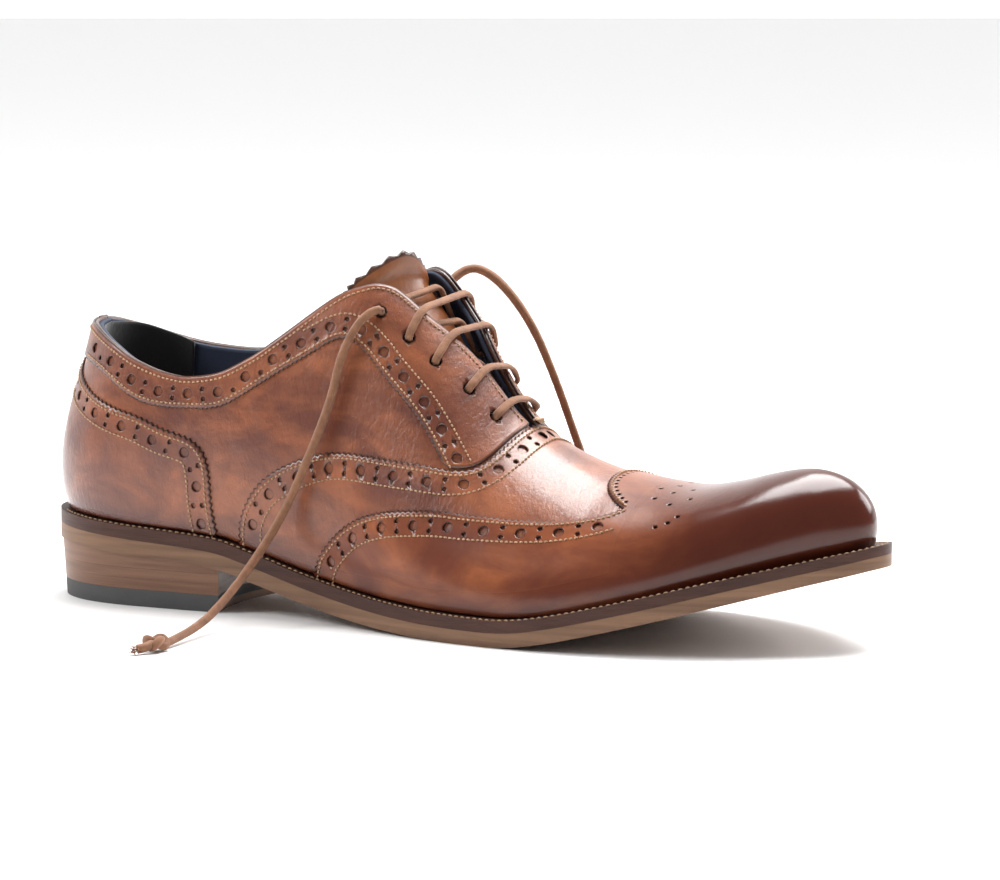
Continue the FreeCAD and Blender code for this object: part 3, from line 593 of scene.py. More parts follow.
def stitch(p, along, up, long=1.3, wide=0.31):
    """One pass of thread: a short rounded bar that dips into the leather at both ends."""
    across = np.cross(up, along)
    verts, n = [], 5
    shape = [(-0.5, 0.35, -0.22), (-0.3, 1.0, 0.10), (0.0, 1.1, 0.2), (0.3, 1.0, 0.10), (0.5, 0.35, -0.22)]
    for a, w, lift in shape:
        for k in range(n):
            t = 2 * math.pi * k / n
            verts.append(p + along * a * long + across * wide * w * math.cos(t)
                         + up * (lift + wide * w * math.sin(t)))
    return np.array(verts), tube_faces(len(shape), n)


def sew(side, row, depth, pitch=STITCH, long=1.25):
    """Stitches along a row that lies on a panel whose face is at this depth."""
    w = walk(side, row, pitch, pitch / 2, None, ends=False)
    if len(w) < 3:
        return []
    p = last(side, w[:, 0], w[:, 1])
    n = normals(side, w[:, 0], w[:, 1])
    p = p - n * depth
    t = np.gradient(p, axis=0)
    t = unit(t - n * (t * n).sum(1, keepdims=True))
    return [stitch(a, b, c, long) for a, b, c in zip(p, t, n)]


# ---------------------------------------------------------------- the upper
CAP_TOP, OVER_TOP, QUARTER_TOP = -0.95, 0.0, 0.90      # depth of each layer's face
CAP_LOW, OVER_LOW, QUARTER_LOW = -0.05, 0.84, 2.35
LINING_TOP, LINING_LOW = 2.45, 4.2
FOOT = 0.004                                            # h of the panels' lower edges
UNDERLAP = 10.5                                         # how far a panel goes on under the next one
LACE_HOLE = 2.1
cap_seam = curve(CAP_SEAM)
cap_peak = curve(CAP_PEAK, 60)
vamp_seam = curve(VAMP_SEAM)
counter_seam = curve(COUNTER_SEAM)
collar_seam = curve(COLLAR_SEAM)
threads = []


def straight(a, b, n=40):
    return np.linspace(a, b, n)


def line_walk(side, a, b, n, step):
    """Points at an even spacing along the straight line from a to b on the (s, h) plane."""
    return walk(side, straight(a, b, n), step)


def grooves(rows):
    return [(row, 0.2) for row in rows]


def beside(side, row, distance, *ends):
    """A row for stitches, parallel to a seam, and shortened at its ends."""
    return sideways(side, walk(side, row, 0.6, *ends), distance)


# wing cap: seam up to the peak, crest to the toe, down the toe's middle, back along the feather line
cap_holes = brogue(-1, cap_seam, -5.0, first=8, last_gap=12)
cap_holes += [(tuple(c), 0.55) for c in sideways(-1, walk(-1, cap_peak, 3.1, 3.0, -2.0), -2.6)]
MEDALLION = [(0.766, 0.498), (0.777, 0.522), (0.784, 0.567), (0.765, 0.70), (0.784, 0.745), (0.742, 0.76),
             (0.755, 0.84), (0.735, 0.88), (0.775, 0.88), (0.75, 0.95)]
cap_holes += [(c, 0.7) for c in MEDALLION]
cap_rows = [beside(-1, cap_seam, -1.7), beside(-1, cap_seam, -8.6, 0, -6.0), beside(-1, cap_peak, -1.2)]
toe_line = line_walk(-1, (1.0, 1.0), (1.0, 0.0), 60, 1.2)
feather = line_walk(-1, (1.0, FOOT), (0.38, FOOT), 200, 1.2)
toe_line[-1] = feather[0]
cap_seam[0, 1] = FOOT
cap_edges = [(zigzag(-1, cap_seam, 2.2, 0.9), "cut"), (zigzag(-1, cap_peak, 1.8, 0.8), "cut"),
             (line_walk(-1, CAP_PEAK[-1], (1.0, 1.0), 120, 1.2), "join"),
             (toe_line, "join"), (feather, "cut")]
cap_layout = layout(-1, cap_edges, cap_holes, grooves(cap_rows))
cap = build("wing_cap_leather", [(-1, cap_layout), (1, cap_layout)], CAP_TOP, CAP_LOW, folds=0.10)
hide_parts("wing_cap")

# vamp: seam up to the throat, crest down to under the cap, and back under the cap's edge
under_cap = sideways(-1, np.vstack([cap_seam[:-1], cap_peak]), -UNDERLAP)
under_cap = under_cap[(under_cap[:, 1] > 0.02) & (under_cap[:, 1] < 0.98)][::8]
under_cap = np.vstack([(under_cap[0, 0], 0.0), under_cap, (under_cap[-1, 0], 1.0)])
vamp_holes = brogue(-1, vamp_seam, -5.0, first=8, last_gap=3)
vamp_rows = [beside(-1, vamp_seam, -1.7), beside(-1, vamp_seam, -8.8)]
front = walk(-1, curve(under_cap[::-1]), 1.3)
front[-1, 1] = FOOT
vamp_line = vamp_seam.copy()
vamp_line[0, 1] = FOOT
vamp_edges = [(zigzag(-1, vamp_line, 2.3, 1.0), "cut"),
              (line_walk(-1, (0.563, 1.0), front[0], 60, 1.2), "join"), (front, "cut"),
              (line_walk(-1, front[-1], (0.287, FOOT), 40, 1.2), "cut")]
vamp_layout = layout(-1, vamp_edges, vamp_holes, grooves(vamp_rows))
vamp = build("vamp_leather", [(-1, vamp_layout), (1, vamp_layout)], OVER_TOP, OVER_LOW, folds=0.28)
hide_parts("vamp")

# counter round the heel
counter_holes = brogue(-1, counter_seam, -5.0, first=14, last_gap=6)
counter_rows = [beside(-1, counter_seam, -1.7, 10), beside(-1, counter_seam, -8.6, 12)]
counter_line = counter_seam[::-1].copy()
counter_line[0, 1] = FOOT
counter_edges = [(zigzag(-1, counter_line, 2.3, 1.0), "cut"),
                 (straight(counter_line[-1], HEEL_TOP, 4), "cut"),
                 (line_walk(-1, HEEL_TOP, (0.0, FOOT), 80, 1.2), "join"),
                 (line_walk(-1, (0.0, FOOT), (0.26, FOOT), 80, 1.2), "cut")]
counter_layout = layout(-1, counter_edges, counter_holes, grooves(counter_rows))
counter = build("counter_leather", [(-1, counter_layout), (1, counter_layout)], OVER_TOP, OVER_LOW,
                folds=0.18)
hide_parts("counter")

for side in (-1, 1):
    for row in cap_rows:
        threads += sew(side, row, CAP_TOP - 0.02)
    for row in vamp_rows + counter_rows:
        threads += sew(side, row, OVER_TOP + 0.05)

# facings with their collar band, quarters under them, and the linings
NAME = {-1: "lateral", 1: "medial"}
uppers, linings = [vamp, counter], []
for side in (-1, 1):
    line = top_line(side)

    def top_row(a, b, drop=0.0, n=200):
        s = np.linspace(a, b, n)
        return np.stack([s, line(s) - drop], 1)

    def quarter_outline(drop, *steps):
        """Along the top, down inside the vamp, back along the foot and up the heel."""
        inside = sideways(side, vamp_seam, -UNDERLAP)
        inside = inside[(inside[:, 1] > 0.003) & (inside[:, 1] < 0.985)]
        top = walk(side, top_row(0.0, inside[-1, 0], drop), steps[0])
        ahead = walk(side, np.vstack([top[-1:], inside[::-1][2:]]), steps[1])
        ahead[-1, 1] = FOOT
        foot = line_walk(side, ahead[-1], (0.0, FOOT), 200, steps[2])
        back = line_walk(side, (0.0, FOOT), (0.0, float(line(0.0)) - drop), 60, steps[3])
        return [(top, "cut"), (ahead, "cut"), (foot, "cut"), (back, "cut")]

    # the facing band: along the top to the throat, down beside the vamp's edge, back along its lower
    # edge and up beside the counter's edge
    s_throat, s_back = 0.5585, 0.0165
    edge_top = walk(side, top_row(s_back, s_throat), 1.0)
    low_edge = zigzag(side, collar_seam[24:-3][::-1], 1.9, 0.7)
    front = sideways(side, vamp_seam, 1.1)
    front = front[(front[:, 1] < line(s_throat) - 0.01) & (front[:, 1] > 0.515)][::-1]
    front = np.vstack([edge_top[-1:], walk(side, front, 1.0), low_edge[:1]])
    up_back = sideways(side, counter_seam, 1.0)
    up_back = up_back[(up_back[:, 1] > low_edge[-1, 1] + 0.01) & (up_back[:, 1] < line(s_back) - 0.01)][::-1]
    up_back = np.vstack([low_edge[-1:], up_back, edge_top[:1]])
    lace_holes = [(place, LACE_HOLE) for place in EYELETS]
    holes = [hole for hole in brogue(side, collar_seam, 5.0, first=24, last_gap=2.5, pitch=11.4)
             if hole[0][1] < line(hole[0][0]) - 0.05]
    inner = beside(side, collar_seam, 8.9, 22)
    inner = inner[inner[:, 1] < line(inner[:, 0]) - 0.045]
    rows = [inner, beside(side, collar_seam, 1.5, 20), beside(side, top_row(0.0, 0.556), -2.1, 1.0, -1.0)]
    facing_layout = layout(side, [(edge_top, "cut"), (front, "cut"), (low_edge, "cut"), (up_back, "cut")],
                           holes + lace_holes, grooves(rows))
    facing = build("facing_" + NAME[side] + "_leather", [(side, facing_layout)], OVER_TOP, OVER_LOW,
                   folds=0.16)
    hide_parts("facing_" + NAME[side])
    for row in rows:
        threads += sew(side, row, OVER_TOP + 0.05)

    quarter_layout = layout(side, quarter_outline(0.0, 1.2, 1.3, 1.4, 1.2), lace_holes)
    quarter = build("quarter_" + NAME[side] + "_leather", [(side, quarter_layout)], QUARTER_TOP, QUARTER_LOW,
                    folds=0.34)
    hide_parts("quarter_" + NAME[side])
    lining_layout = layout(side, quarter_outline(0.004, 1.4, 1.6, 1.8, 1.4), lace_holes, step=1.8)
    lining = build("quarter_lining_" + NAME[side] + "_cloth", [(side, lining_layout)], LINING_TOP, LINING_LOW,
                   folds=0.1)
    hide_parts("quarter_lining_" + NAME[side])
    uppers += [facing, quarter]
    linings.append(lining)


# lining of the vamp, and the suede grip round the inside of the heel
seam_in = vamp_seam.copy()
seam_in[:, 0] += 0.034
seam_in[0, 1] = FOOT
edges = [(walk(-1, seam_in, 2.4), "cut"), (line_walk(-1, (0.597, 1.0), (1.0, 1.0), 120, 2.4), "join"),
         (line_walk(-1, (1.0, 1.0), (1.0, FOOT), 60, 2.4), "join"),
         (line_walk(-1, (1.0, FOOT), (0.321, FOOT), 200, 2.4), "cut")]
vamp_lining_layout = layout(-1, edges, step=2.6)
vamp_lining = build("vamp_lining_cloth", [(-1, vamp_lining_layout), (1, vamp_lining_layout)], 2.5, 3.4)
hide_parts("vamp_lining_lateral", "vamp_lining_medial")
grip_top = np.stack([np.linspace(0.128, 0.0, 60), TOP_LINE(np.linspace(0.128, 0.0, 60)) - 0.012], 1)
edges = [(straight((0.0, 0.22), (0.128, 0.22)), "cut"), (straight((0.128, 0.22), grip_top[0]), "cut"),
         (grip_top, "cut"), (line_walk(-1, grip_top[-1], (0.0, 0.22), 50, 1.5), "join")]
grip_layout = layout(-1, edges, step=1.8)
grip = build("heel_grip_suede", [(-1, grip_layout), (1, grip_layout)], 4.25, 4.95, folds=0.1)
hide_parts("heel_grip")

# ---------------------------------------------------------------- tongue
# rows from the root to the free end: s on the outer and on the inner side, depth, lift of the middle
TONGUE = [(s, s, 9.0, 0) for s in (0.615, 0.585, 0.555, 0.525, 0.495)]
TONGUE += [(0.465, 0.467, 9.0, 0), (0.44, 0.445, 9.0, 0), (0.42, 0.432, 8.8, 0), (0.40, 0.42, 7.4, 0.5),
           (0.385, 0.412, 5.8, 1.8), (0.370, 0.405, 5.3, 3.2)]
TONGUE_RISES = np.array([0.72, 0.78, 0.84])
TONGUE_SHARES = np.array([0.0, 0.0, 0.6])
TONGUE_INNER_RISES = np.array([0.75, 0.79, 0.85])
TONGUE_DEEPEST, TONGUE_INNER_DEEPER = 9.0, 1.4
TONGUE_LEAN = np.array([8.5, 0.0, 4.5])
TONGUE_RIDGE = (0.92, 1.6)                              # h, and how much deeper than the sides
TONGUE_LEATHER, TONGUE_LINING = 1.15, 0.65              # thicknesses


def dense(grid, factor):
    """Cubic refinement of rows along the first axis."""
    n = len(grid)
    x = np.linspace(0, n - 1, (n - 1) * factor + 1)
    i = np.clip(np.floor(x).astype(int), 0, n - 2)
    u = (x - i).reshape((-1,) + (1,) * (grid.ndim - 1))
    g = np.concatenate([[2 * grid[0] - grid[1]], grid, [2 * grid[-1] - grid[-2]]])
    a, b, c, d = g[i], g[i + 1], g[i + 2], g[i + 3]
    return 0.5 * (2 * b + (c - a) * u + (2 * a - 5 * b + 4 * c - d) * u * u
                  + (3 * b - a - 3 * c + d) * u ** 3)


def tongue_face():
    """The leather's top face; its free end leans forward and up, most along the ridge."""
    rows = []
    h, deeper = TONGUE_RIDGE
    leans = np.append(np.zeros(len(TONGUE) - 4), (0.08, 0.32, 0.66, 1.0))
    across = np.array([0.0, 0.12, 0.5, 1.0, 0.5, 0.12, 0.0])
    for (outer, inner, below, lift), lean in zip(TONGUE, leans):
        top = below + deeper - lift
        ridge = (at(-1, [outer], [h], top) + at(1, [inner], [h], top)) / 2
        deep = below - TONGUE_SHARES * lift
        deep_inner = min(TONGUE_DEEPEST, below + TONGUE_INNER_DEEPER)
        row = np.vstack([at(-1, [outer] * 3, TONGUE_RISES, deep), ridge,
                         at(1, [inner] * 3, TONGUE_INNER_RISES[::-1], deep_inner)])
        rows.append(row + lean * across[:, None] * TONGUE_LEAN)
    g = dense(np.array(rows), 6)
    return dense(g.swapaxes(0, 1), 14).swapaxes(0, 1)


def below_face(grid, depth):
    """The same grid moved to its own lower side."""
    along, across = np.gradient(grid, axis=0), np.gradient(grid, axis=1)
    return grid - unit(np.cross(across, along)) * depth


def slab(name, top, bottom):
    """Closed sheet between two grids of points."""
    r, c = top.shape[:2]
    v = np.vstack([top.reshape(-1, 3), bottom.reshape(-1, 3)])
    idx = np.arange(r * c).reshape(r, c)
    quads = np.stack([idx[:-1, :-1], idx[:-1, 1:], idx[1:, 1:], idx[1:, :-1]], -1).reshape(-1, 4)
    faces = [tuple(q) for q in quads] + [tuple(q[::-1] + r * c) for q in quads]
    loop = list(idx[0]) + list(idx[1:, -1]) + list(idx[-1, :-1][::-1]) + list(idx[1:-1, 0][::-1])
    for a, b in zip(loop, loop[1:] + loop[:1]):
        faces.append((b, a, a + r * c, b + r * c))
    rim = np.zeros(r * c)
    rim[idx[-2]] = 0.8
    rim[loop] = 1
    return mesh_object(name, v, faces, edge=np.tile(rim, 2), burn=np.zeros(len(v)))


def gimp(grid, size=1.3):
    """The sheet's last row drawn out into teeth."""
    teeth = size * np.array([0.0, 0.5, 1.0, 0.5])[np.arange(grid.shape[1]) % 4]
    out = grid.copy()
    out[-1] += unit(grid[-1] - grid[-2]) * teeth[:, None]
    return out


face = tongue_face()
middle, under_face = below_face(face, TONGUE_LEATHER), below_face(face, TONGUE_LEATHER + TONGUE_LINING)
tongue = slab("tongue_leather", gimp(face), gimp(middle))
tongue_back = slab("tongue_lining_cloth", middle[:-6], under_face[:-6])
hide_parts("tongue")
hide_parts("tongue_lining")
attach(tongue, "tongue_flap")
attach(tongue_back, "tongue_flap")

# ---------------------------------------------------------------- half sock on the insole
INSOLE_TOP, SOCK_TOP, SOCK_IN, SOCK_FRONT = 2.5, 3.4, 5.6, 104.9


def outline(n, width):
    """x and y of n points round the last's outline, moved outward by a width or a width for each x."""
    t = np.arange(n) / n
    x, y = OUT_X(t), OUT_Y(t)
    nx, ny = outward(t)
    if callable(width):
        width = width(x)
    return x + nx * width, y + ny * width


px, py = outline(900, -SOCK_IN)
sock_x = px.min() + 0.12 + (SOCK_FRONT - px.min() - 0.12) * (1 - np.cos(np.linspace(0, math.pi / 2, 64)))
lateral, medial = [np.interp(sock_x, *(q[np.argsort(px[keep])] for q in (px[keep], py[keep])))
                   for keep in (py < py[np.argmin(px)], py >= py[np.argmin(px)])]
u = (1 - np.cos(np.linspace(0, math.pi, 33))) / 2
sock = np.empty((len(sock_x), len(u), 3))
sock[..., 0] = sock_x[:, None]
sock[..., 1] = lateral[:, None] + (medial - lateral)[:, None] * u
insole_z = ground(sock_x)[:, None]
worn = np.array([[noise.noise((p[0] * 0.05, p[1] * 0.05, 3.0)) for p in row] for row in sock])
upper_side, lower_side = sock.copy(), sock
upper_side[..., 2] = insole_z + SOCK_TOP - 0.25 + 0.2 * worn
upper_side[:, [0, -1], 2] -= 0.25
upper_side[[0, -1], :, 2] -= 0.2
lower_side[..., 2] = insole_z + INSOLE_TOP
sock_liner = slab("sock_liner_leather", upper_side, lower_side)
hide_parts("sock_liner")

# ---------------------------------------------------------------- laces
R = 1.5
UNDER = -(4.25 + R + 0.5)
FLAT_ABOVE, CREST_ABOVE = 1.45, 2.3    # middle of the flattened thong above the leather
SHARP, WIDE = 2.8, 7.5                 # how far a bend reaches along the runs beside it


def over(side, s, h, lift):
    return at(side, [s], [h], -lift)[0]


def eyelet(i, side, lift):
    return over(side, EYELETS[i][0], EYELETS[i][1], lift)


def spline_path(points, name):
    """The cord's middle line: a NURBS curve through its control points, read back as points."""
    c = bpy.data.curves.new(name, "CURVE")
    c.dimensions = "3D"
    sp = c.splines.new("NURBS")
    sp.points.add(len(points) - 1)
    for q, p in zip(sp.points, points):
        q.co = (*((np.array(p) + SHIFT) * MM), 1.0)
    sp.order_u = 3
    sp.use_endpoint_u = True
    c.resolution_u = 16
    o = put(name, c)
    me = bpy.data.meshes.new_from_object(o)
    path = np.array([tuple(v.co) for v in me.vertices])
    bpy.data.meshes.remove(me)
    bpy.data.objects.remove(o)
    bpy.data.curves.remove(c)
    return path / MM - SHIFT


def even(path, step):
    d = along_path(path)
    return resample(path, d, np.linspace(0, d[-1], max(int(d[-1] / step), 4)))


def strand(path, radius=R, sides=14, square=3.2, seed=0, taper=None, flat=None):
    """A cut suede thong swept along a path: a rounded square section with a slight wander.

    flat is its thickness as a share of its width; a flat thong keeps its broad side on the shoe."""
    t = unit(np.gradient(path, axis=0))
    u = np.cross(t[0], UP)
    if np.linalg.norm(u) < 0.1:
        u = np.cross(t[0], (1.0, 0, 0))
    u = unit(u)
    verts = []
    for i, p in enumerate(path):
        if flat:
            lie = np.cross(t[i], np.array([20.0, 1.2 * p[1], 40.0]) / 45)
            u = u + 0.35 * lie * (1 if lie @ u >= 0 else -1)
        u = unit(u - t[i] * (u @ t[i]))
        w = np.cross(t[i], u) * (flat or 1.0)
        roll = 0.0 if flat else 0.35 * noise.noise((i * 0.02, seed, 0))
        for k in range(sides):
            a = 2 * math.pi * k / sides
            ca, sa = math.cos(a + roll), math.sin(a + roll)
            box = (abs(math.cos(a)) ** square + abs(math.sin(a)) ** square) ** (-1 / square)
            rough = (1 + 0.05 * noise.noise(tuple(p * 0.6 + seed))
                     + 0.035 * noise.noise((i * 0.5, k * 0.8, seed)))
            r = radius * 0.92 * box * rough * (1 if taper is None else taper[i])
            verts.append(p + r * (ca * u + sa * w))
    return np.array(verts), tube_faces(len(path), sides)


def bar(i):
    s, h = EYELETS[i]
    return [eyelet(i, 1, UNDER), eyelet(i, 1, FLAT_ABOVE), over(1, s, TOP_LINE(s) - 0.02, CREST_ABOVE),
            over(-1, s, TOP_LINE(s) - 0.02, CREST_ABOVE), eyelet(i, -1, FLAT_ABOVE), eyelet(i, -1, UNDER)]


def under(i):
    a, b = EYELETS[i][0], EYELETS[i + 1][0]
    return [over(-1, 0.7 * a + 0.3 * b, 0.92, UNDER), over(1, 0.3 * a + 0.7 * b, 0.92, UNDER)]


def rounded(points, reaches, n=8):
    """Straight runs joined by arcs, as dense points."""
    pts = [np.array(p, float) for p in points]
    out = [pts[0]]
    for a, b, c, radius in zip(pts, pts[1:], pts[2:], reaches[1:]):
        u, v = (a - b), (c - b)
        lu, lv = np.linalg.norm(u), np.linalg.norm(v)
        u, v = u / lu, v / lv
        reach = min(radius, 0.45 * lu, 0.45 * lv)
        p0, p1 = b + u * reach, b + v * reach
        for k in range(n + 1):
            w = k / n
            out.append((1 - w) ** 2 * p0 + 2 * w * (1 - w) * b + w * w * p1)
    out.append(pts[-1])
    return np.array(out)


run = [eyelet(0, -1, R + 0.2), eyelet(0, -1, UNDER)]
reaches = [SHARP, SHARP]
for i in range(1, 5):
    run += under(i - 1) + bar(i)
    reaches += [SHARP] * 4 + [WIDE] * 2 + [SHARP] * 2
run += [over(1, 0.556, 0.84, UNDER), over(1, 0.535, 0.745, UNDER), over(1, 0.47, 0.69, UNDER),
        over(1, 0.43, 0.70, UNDER), eyelet(0, 1, UNDER), eyelet(0, 1, R + 0.2)]
reaches += [SHARP] * (len(run) - len(reaches))
crossings = joined("lace_through_eyelets", [strand(even(rounded(run, reaches), 0.7), seed=3, flat=0.6)])
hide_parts("lace_crossings")

LATERAL_END = [(127.6, -22.4, 106.0), (121.0, -27.4, 93.0), (119.2, -32.0, 76.0),
               (112.6, -35.6, 57.0), (104.0, -37.0, 38.0), (98.0, -44.0, 24.0), (95.5, -62.0, 11.0),
               (95.0, -84.0, 2.6), (96.4, -108.0, 1.7)]
MEDIAL_END = [(136.0, 34.0, 117.5), (146.5, 37.0, 114.5), (157.5, 43.0, 98.5),
              (164.0, 50.0, 77.0), (169.5, 56.0, 54.5), (173.0, 66.0, 33.3), (174.5, 77.0, 14.2),
              (173.5, 92.5, 2.6), (167.0, 112.0, 1.7)]
laces = [crossings]
for side, route in ((-1, LATERAL_END), (1, MEDIAL_END)):
    word = NAME[side]
    route = [eyelet(0, side, R + 0.2)] + [np.array(p) for p in route]
    path = even(spline_path(route, "route_" + word), 0.9)
    lace = joined("lace_end_" + word + "_suede", [strand(path, seed=side * 5 + 20)])
    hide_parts("lace_end_" + word)

    # an overhand knot lying on the ground, its short tail, and the frayed end
    along = unit((path[-1] - path[-4]) * (1, 1, 0))
    across = np.cross(UP, along)
    centre = path[-1] + along * 4.0
    centre[2] = 3.1
    t = np.linspace(0, 2 * math.pi, 90)
    loop_x = (np.sin(t) + 2 * np.sin(2 * t)) * 1.35
    loop_y = (np.cos(t) - 2 * np.cos(2 * t)) * 1.15
    loop_z = -np.sin(3 * t) * 1.25
    loop = centre + loop_x[:, None] * along + loop_y[:, None] * across + loop_z[:, None] * UP
    ends = centre + along * 3.0
    tail = np.array([ends + along * x + across * 0.12 * x * x * side - UP * 0.25 * x
                     for x in np.linspace(0, 5.0, 12)])
    tail[:, 2] = np.maximum(tail[:, 2], 1.6)
    items = [strand(loop, radius=1.42, seed=40 + side), strand(tail, seed=41)]
    for k in range(26):
        a = tail[-1] + across * rng.uniform(-1.2, 1.2) + UP * rng.uniform(-1.1, 1.1)
        way = along * rng.uniform(1.2, 3.4) + across * rng.uniform(-1.6, 1.6) + UP * rng.uniform(-1.2, 1.2)
        hair = np.array([a + way * w + across * 0.5 * math.sin(w * 3 + k) * w for w in np.linspace(0, 1, 6)])
        hair[:, 2] = np.clip(hair[:, 2], 0.35, None)
        items.append(strand(hair, radius=rng.uniform(0.14, 0.3), sides=5, seed=k,
                            taper=np.linspace(1, 0.4, 6)))
    knot = joined("knot_" + word + "_suede", items)
    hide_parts("knot_" + word)
    laces += [lace, knot]


# ---------------------------------------------------------------- seams as thread
front_throat = over(-1, 0.562, 1.0, 1.4)
tack = []
for k in range(7):
    y = (k - 3) * 0.55
    p = front_throat + np.array([0.25 * math.sin(k * 2.1), y, 0.15 * math.sin(k)])
    tack.append(stitch(p, np.array([0.94, 0.0, -0.34]), np.array([0.34, 0, 0.94]), long=3.2, wide=0.34))
for k in (-1, 1):
    p = front_throat + np.array([0.9 * k, 0, 0.35])
    tack.append(stitch(p, np.array([0.0, 1.0, 0.0]), np.array([0.3, 0, 0.95]), long=4.6, wide=0.4))
bar_tack = joined("bar_tack_thread", tack)
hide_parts("bar_tack")
thread = joined("seam_thread", threads)

# welt stitching: a row of stitches on the welt's top all round
px, py = outline(700, lambda x: WELT_OUT(x) - 1.5)
row = np.stack([px, py, ground(px)], 1)
row = even(np.vstack([row, row[:1]]), 2.45)
welt_thread = []
for a, b in zip(row, row[1:]):
    mid, way = (a + b) / 2, unit(b - a)
    if mid[0] > 6:
        u = unit(np.cross(way, np.cross(UP, way)))
        welt_thread.append(stitch(mid - u * 0.02, way, u, long=1.9, wide=0.27))
welt_sewn = joined("welt_thread", welt_thread)

# ---------------------------------------------------------------- materials
def material(name):
    m = bpy.data.materials.new(name)
    m.use_nodes = True
    nt = m.node_tree
    return m, nt, nt.nodes["Principled BSDF"]


def fill(node, **values):
    """Set a node's inputs; an underscore in a name stands for a space."""
    for key, value in values.items():
        node.inputs[key.replace("_", " ")].default_value = value


def ramp(nt, source, *stops):
    """Grey levels by position along the source's 0..1."""
    r = nt.nodes.new("ShaderNodeValToRGB")
    nt.links.new(source, r.inputs["Fac"])
    e = r.color_ramp.elements
    while len(e) < len(stops):
        e.new(0.5)
    for element, (place, grey) in zip(e, stops):
        element.position, element.color = place, (grey, grey, grey, 1)
    return r.outputs["Color"]


def mix(nt, fac, a, b):
    """Blend of two colours, each a socket or (r, g, b), by a socket."""
    m = nt.nodes.new("ShaderNodeMix")
    m.data_type = "RGBA"
    nt.links.new(fac, m.inputs[0])
    for socket, colour in ((m.inputs[6], a), (m.inputs[7], b)):
        if isinstance(colour, bpy.types.NodeSocket):
            nt.links.new(colour, socket)
        else:
            socket.default_value = (*colour, 1)
    return m.outputs[2]


def noise_tex(nt, scale, detail=4, rough=0.55, stretch=(1, 1, 1), distort=0.0):
    tc = nt.nodes.new("ShaderNodeTexCoord")
    mp = nt.nodes.new("ShaderNodeMapping")
    n = nt.nodes.new("ShaderNodeTexNoise")
    fill(mp, Scale=stretch)
    fill(n, Scale=scale, Detail=detail, Roughness=rough, Distortion=distort)
    nt.links.new(tc.outputs["Object"], mp.inputs["Vector"])
    nt.links.new(mp.outputs["Vector"], n.inputs["Vector"])
    return n.outputs["Fac"]


def bump(nt, bsdf, height, strength, distance, before=None):
    b = nt.nodes.new("ShaderNodeBump")
    fill(b, Strength=strength, Distance=distance)
    nt.links.new(height, b.inputs["Height"])
    if before is not None:
        nt.links.new(before, b.inputs["Normal"])
    nt.links.new(b.outputs["Normal"], bsdf.inputs["Normal"])
    return b.outputs["Normal"]


def attribute(nt, name):
    a = nt.nodes.new("ShaderNodeAttribute")
    a.attribute_name = name
    return a.outputs["Fac"]


# dark dye of cut edges; round the punched holes the same dark is painted shade
CUT_EDGE_AND_HOLE_SHADE = (0.032, 0.010, 0.005)


def leather(name, tan, deep, dark, gloss_low, gloss_high, coat=0.35, pores=0.25, shine=0.42, wrinkles=0.42):
    """Hand-burnished leather: blotches and streaks of deep brown on tan, dark where burnished or cut, with
    painted shade low by the welt and round the punched holes.
    """
    m, nt, b = material(name)
    blotch = noise_tex(nt, 17, 4, 0.55, (1, 1, 1.6), 1.4)
    clouds = noise_tex(nt, 48, 5, 0.6, (0.7, 1, 1.5), 0.8)
    fine = noise_tex(nt, 230, 4, 0.65, (0.5, 1, 1))
    burn = attribute(nt, "burn")
    base = mix(nt, ramp(nt, blotch, (0.40, 0), (0.60, 0.85)), tan, deep)
    base = mix(nt, ramp(nt, clouds, (0.42, 0), (0.70, 0.7)), base, deep)
    base = mix(nt, ramp(nt, fine, (0.45, 0), (0.75, 0.35)), base, deep)
    # darker where burnished at toe and heel, and painted shade along the lower edge by the welt
    base = mix(nt, ramp(nt, burn, (0.0, 0), (0.5, 0.6), (1.0, 0.97)), base, dark)
    # dark dyed cut edges, and painted shade on the rims of the punched holes
    base = mix(nt, ramp(nt, attribute(nt, "edge"), (0.25, 0), (0.9, 0.9)), base, CUT_EDGE_AND_HOLE_SHADE)
    nt.links.new(base, b.inputs["Base Color"])
    nt.links.new(ramp(nt, burn, (0.0, gloss_low), (0.75, gloss_high)), b.inputs["Roughness"])
    fill(b, Specular_IOR_Level=shine, Coat_Weight=coat, Coat_Roughness=0.18)
    grain = bump(nt, b, noise_tex(nt, 800, 4, 0.65, (1.0, 0.6, 0.6), 0.5), pores, 0.0004)
    bump(nt, b, noise_tex(nt, 230, 4, 0.62, (1.0, 0.35, 0.45), 0.8), wrinkles, 0.0007, grain)
    return m


def plain(name, one, other, rough, scale=60, strength=0.3, distance=0.0003, sheen=0.0, stretch=(1, 1, 1),
          grain=300, shine=0.5, metallic=0.0):
    """Two colours mottled, over a fine bump."""
    m, nt, b = material(name)
    nt.links.new(mix(nt, noise_tex(nt, scale, 4, 0.6, stretch), one, other), b.inputs["Base Color"])
    fill(b, Roughness=rough, Sheen_Weight=sheen, Specular_IOR_Level=shine, Metallic=metallic)
    bump(nt, b, noise_tex(nt, grain, 4, 0.65, stretch), strength, distance)
    return m


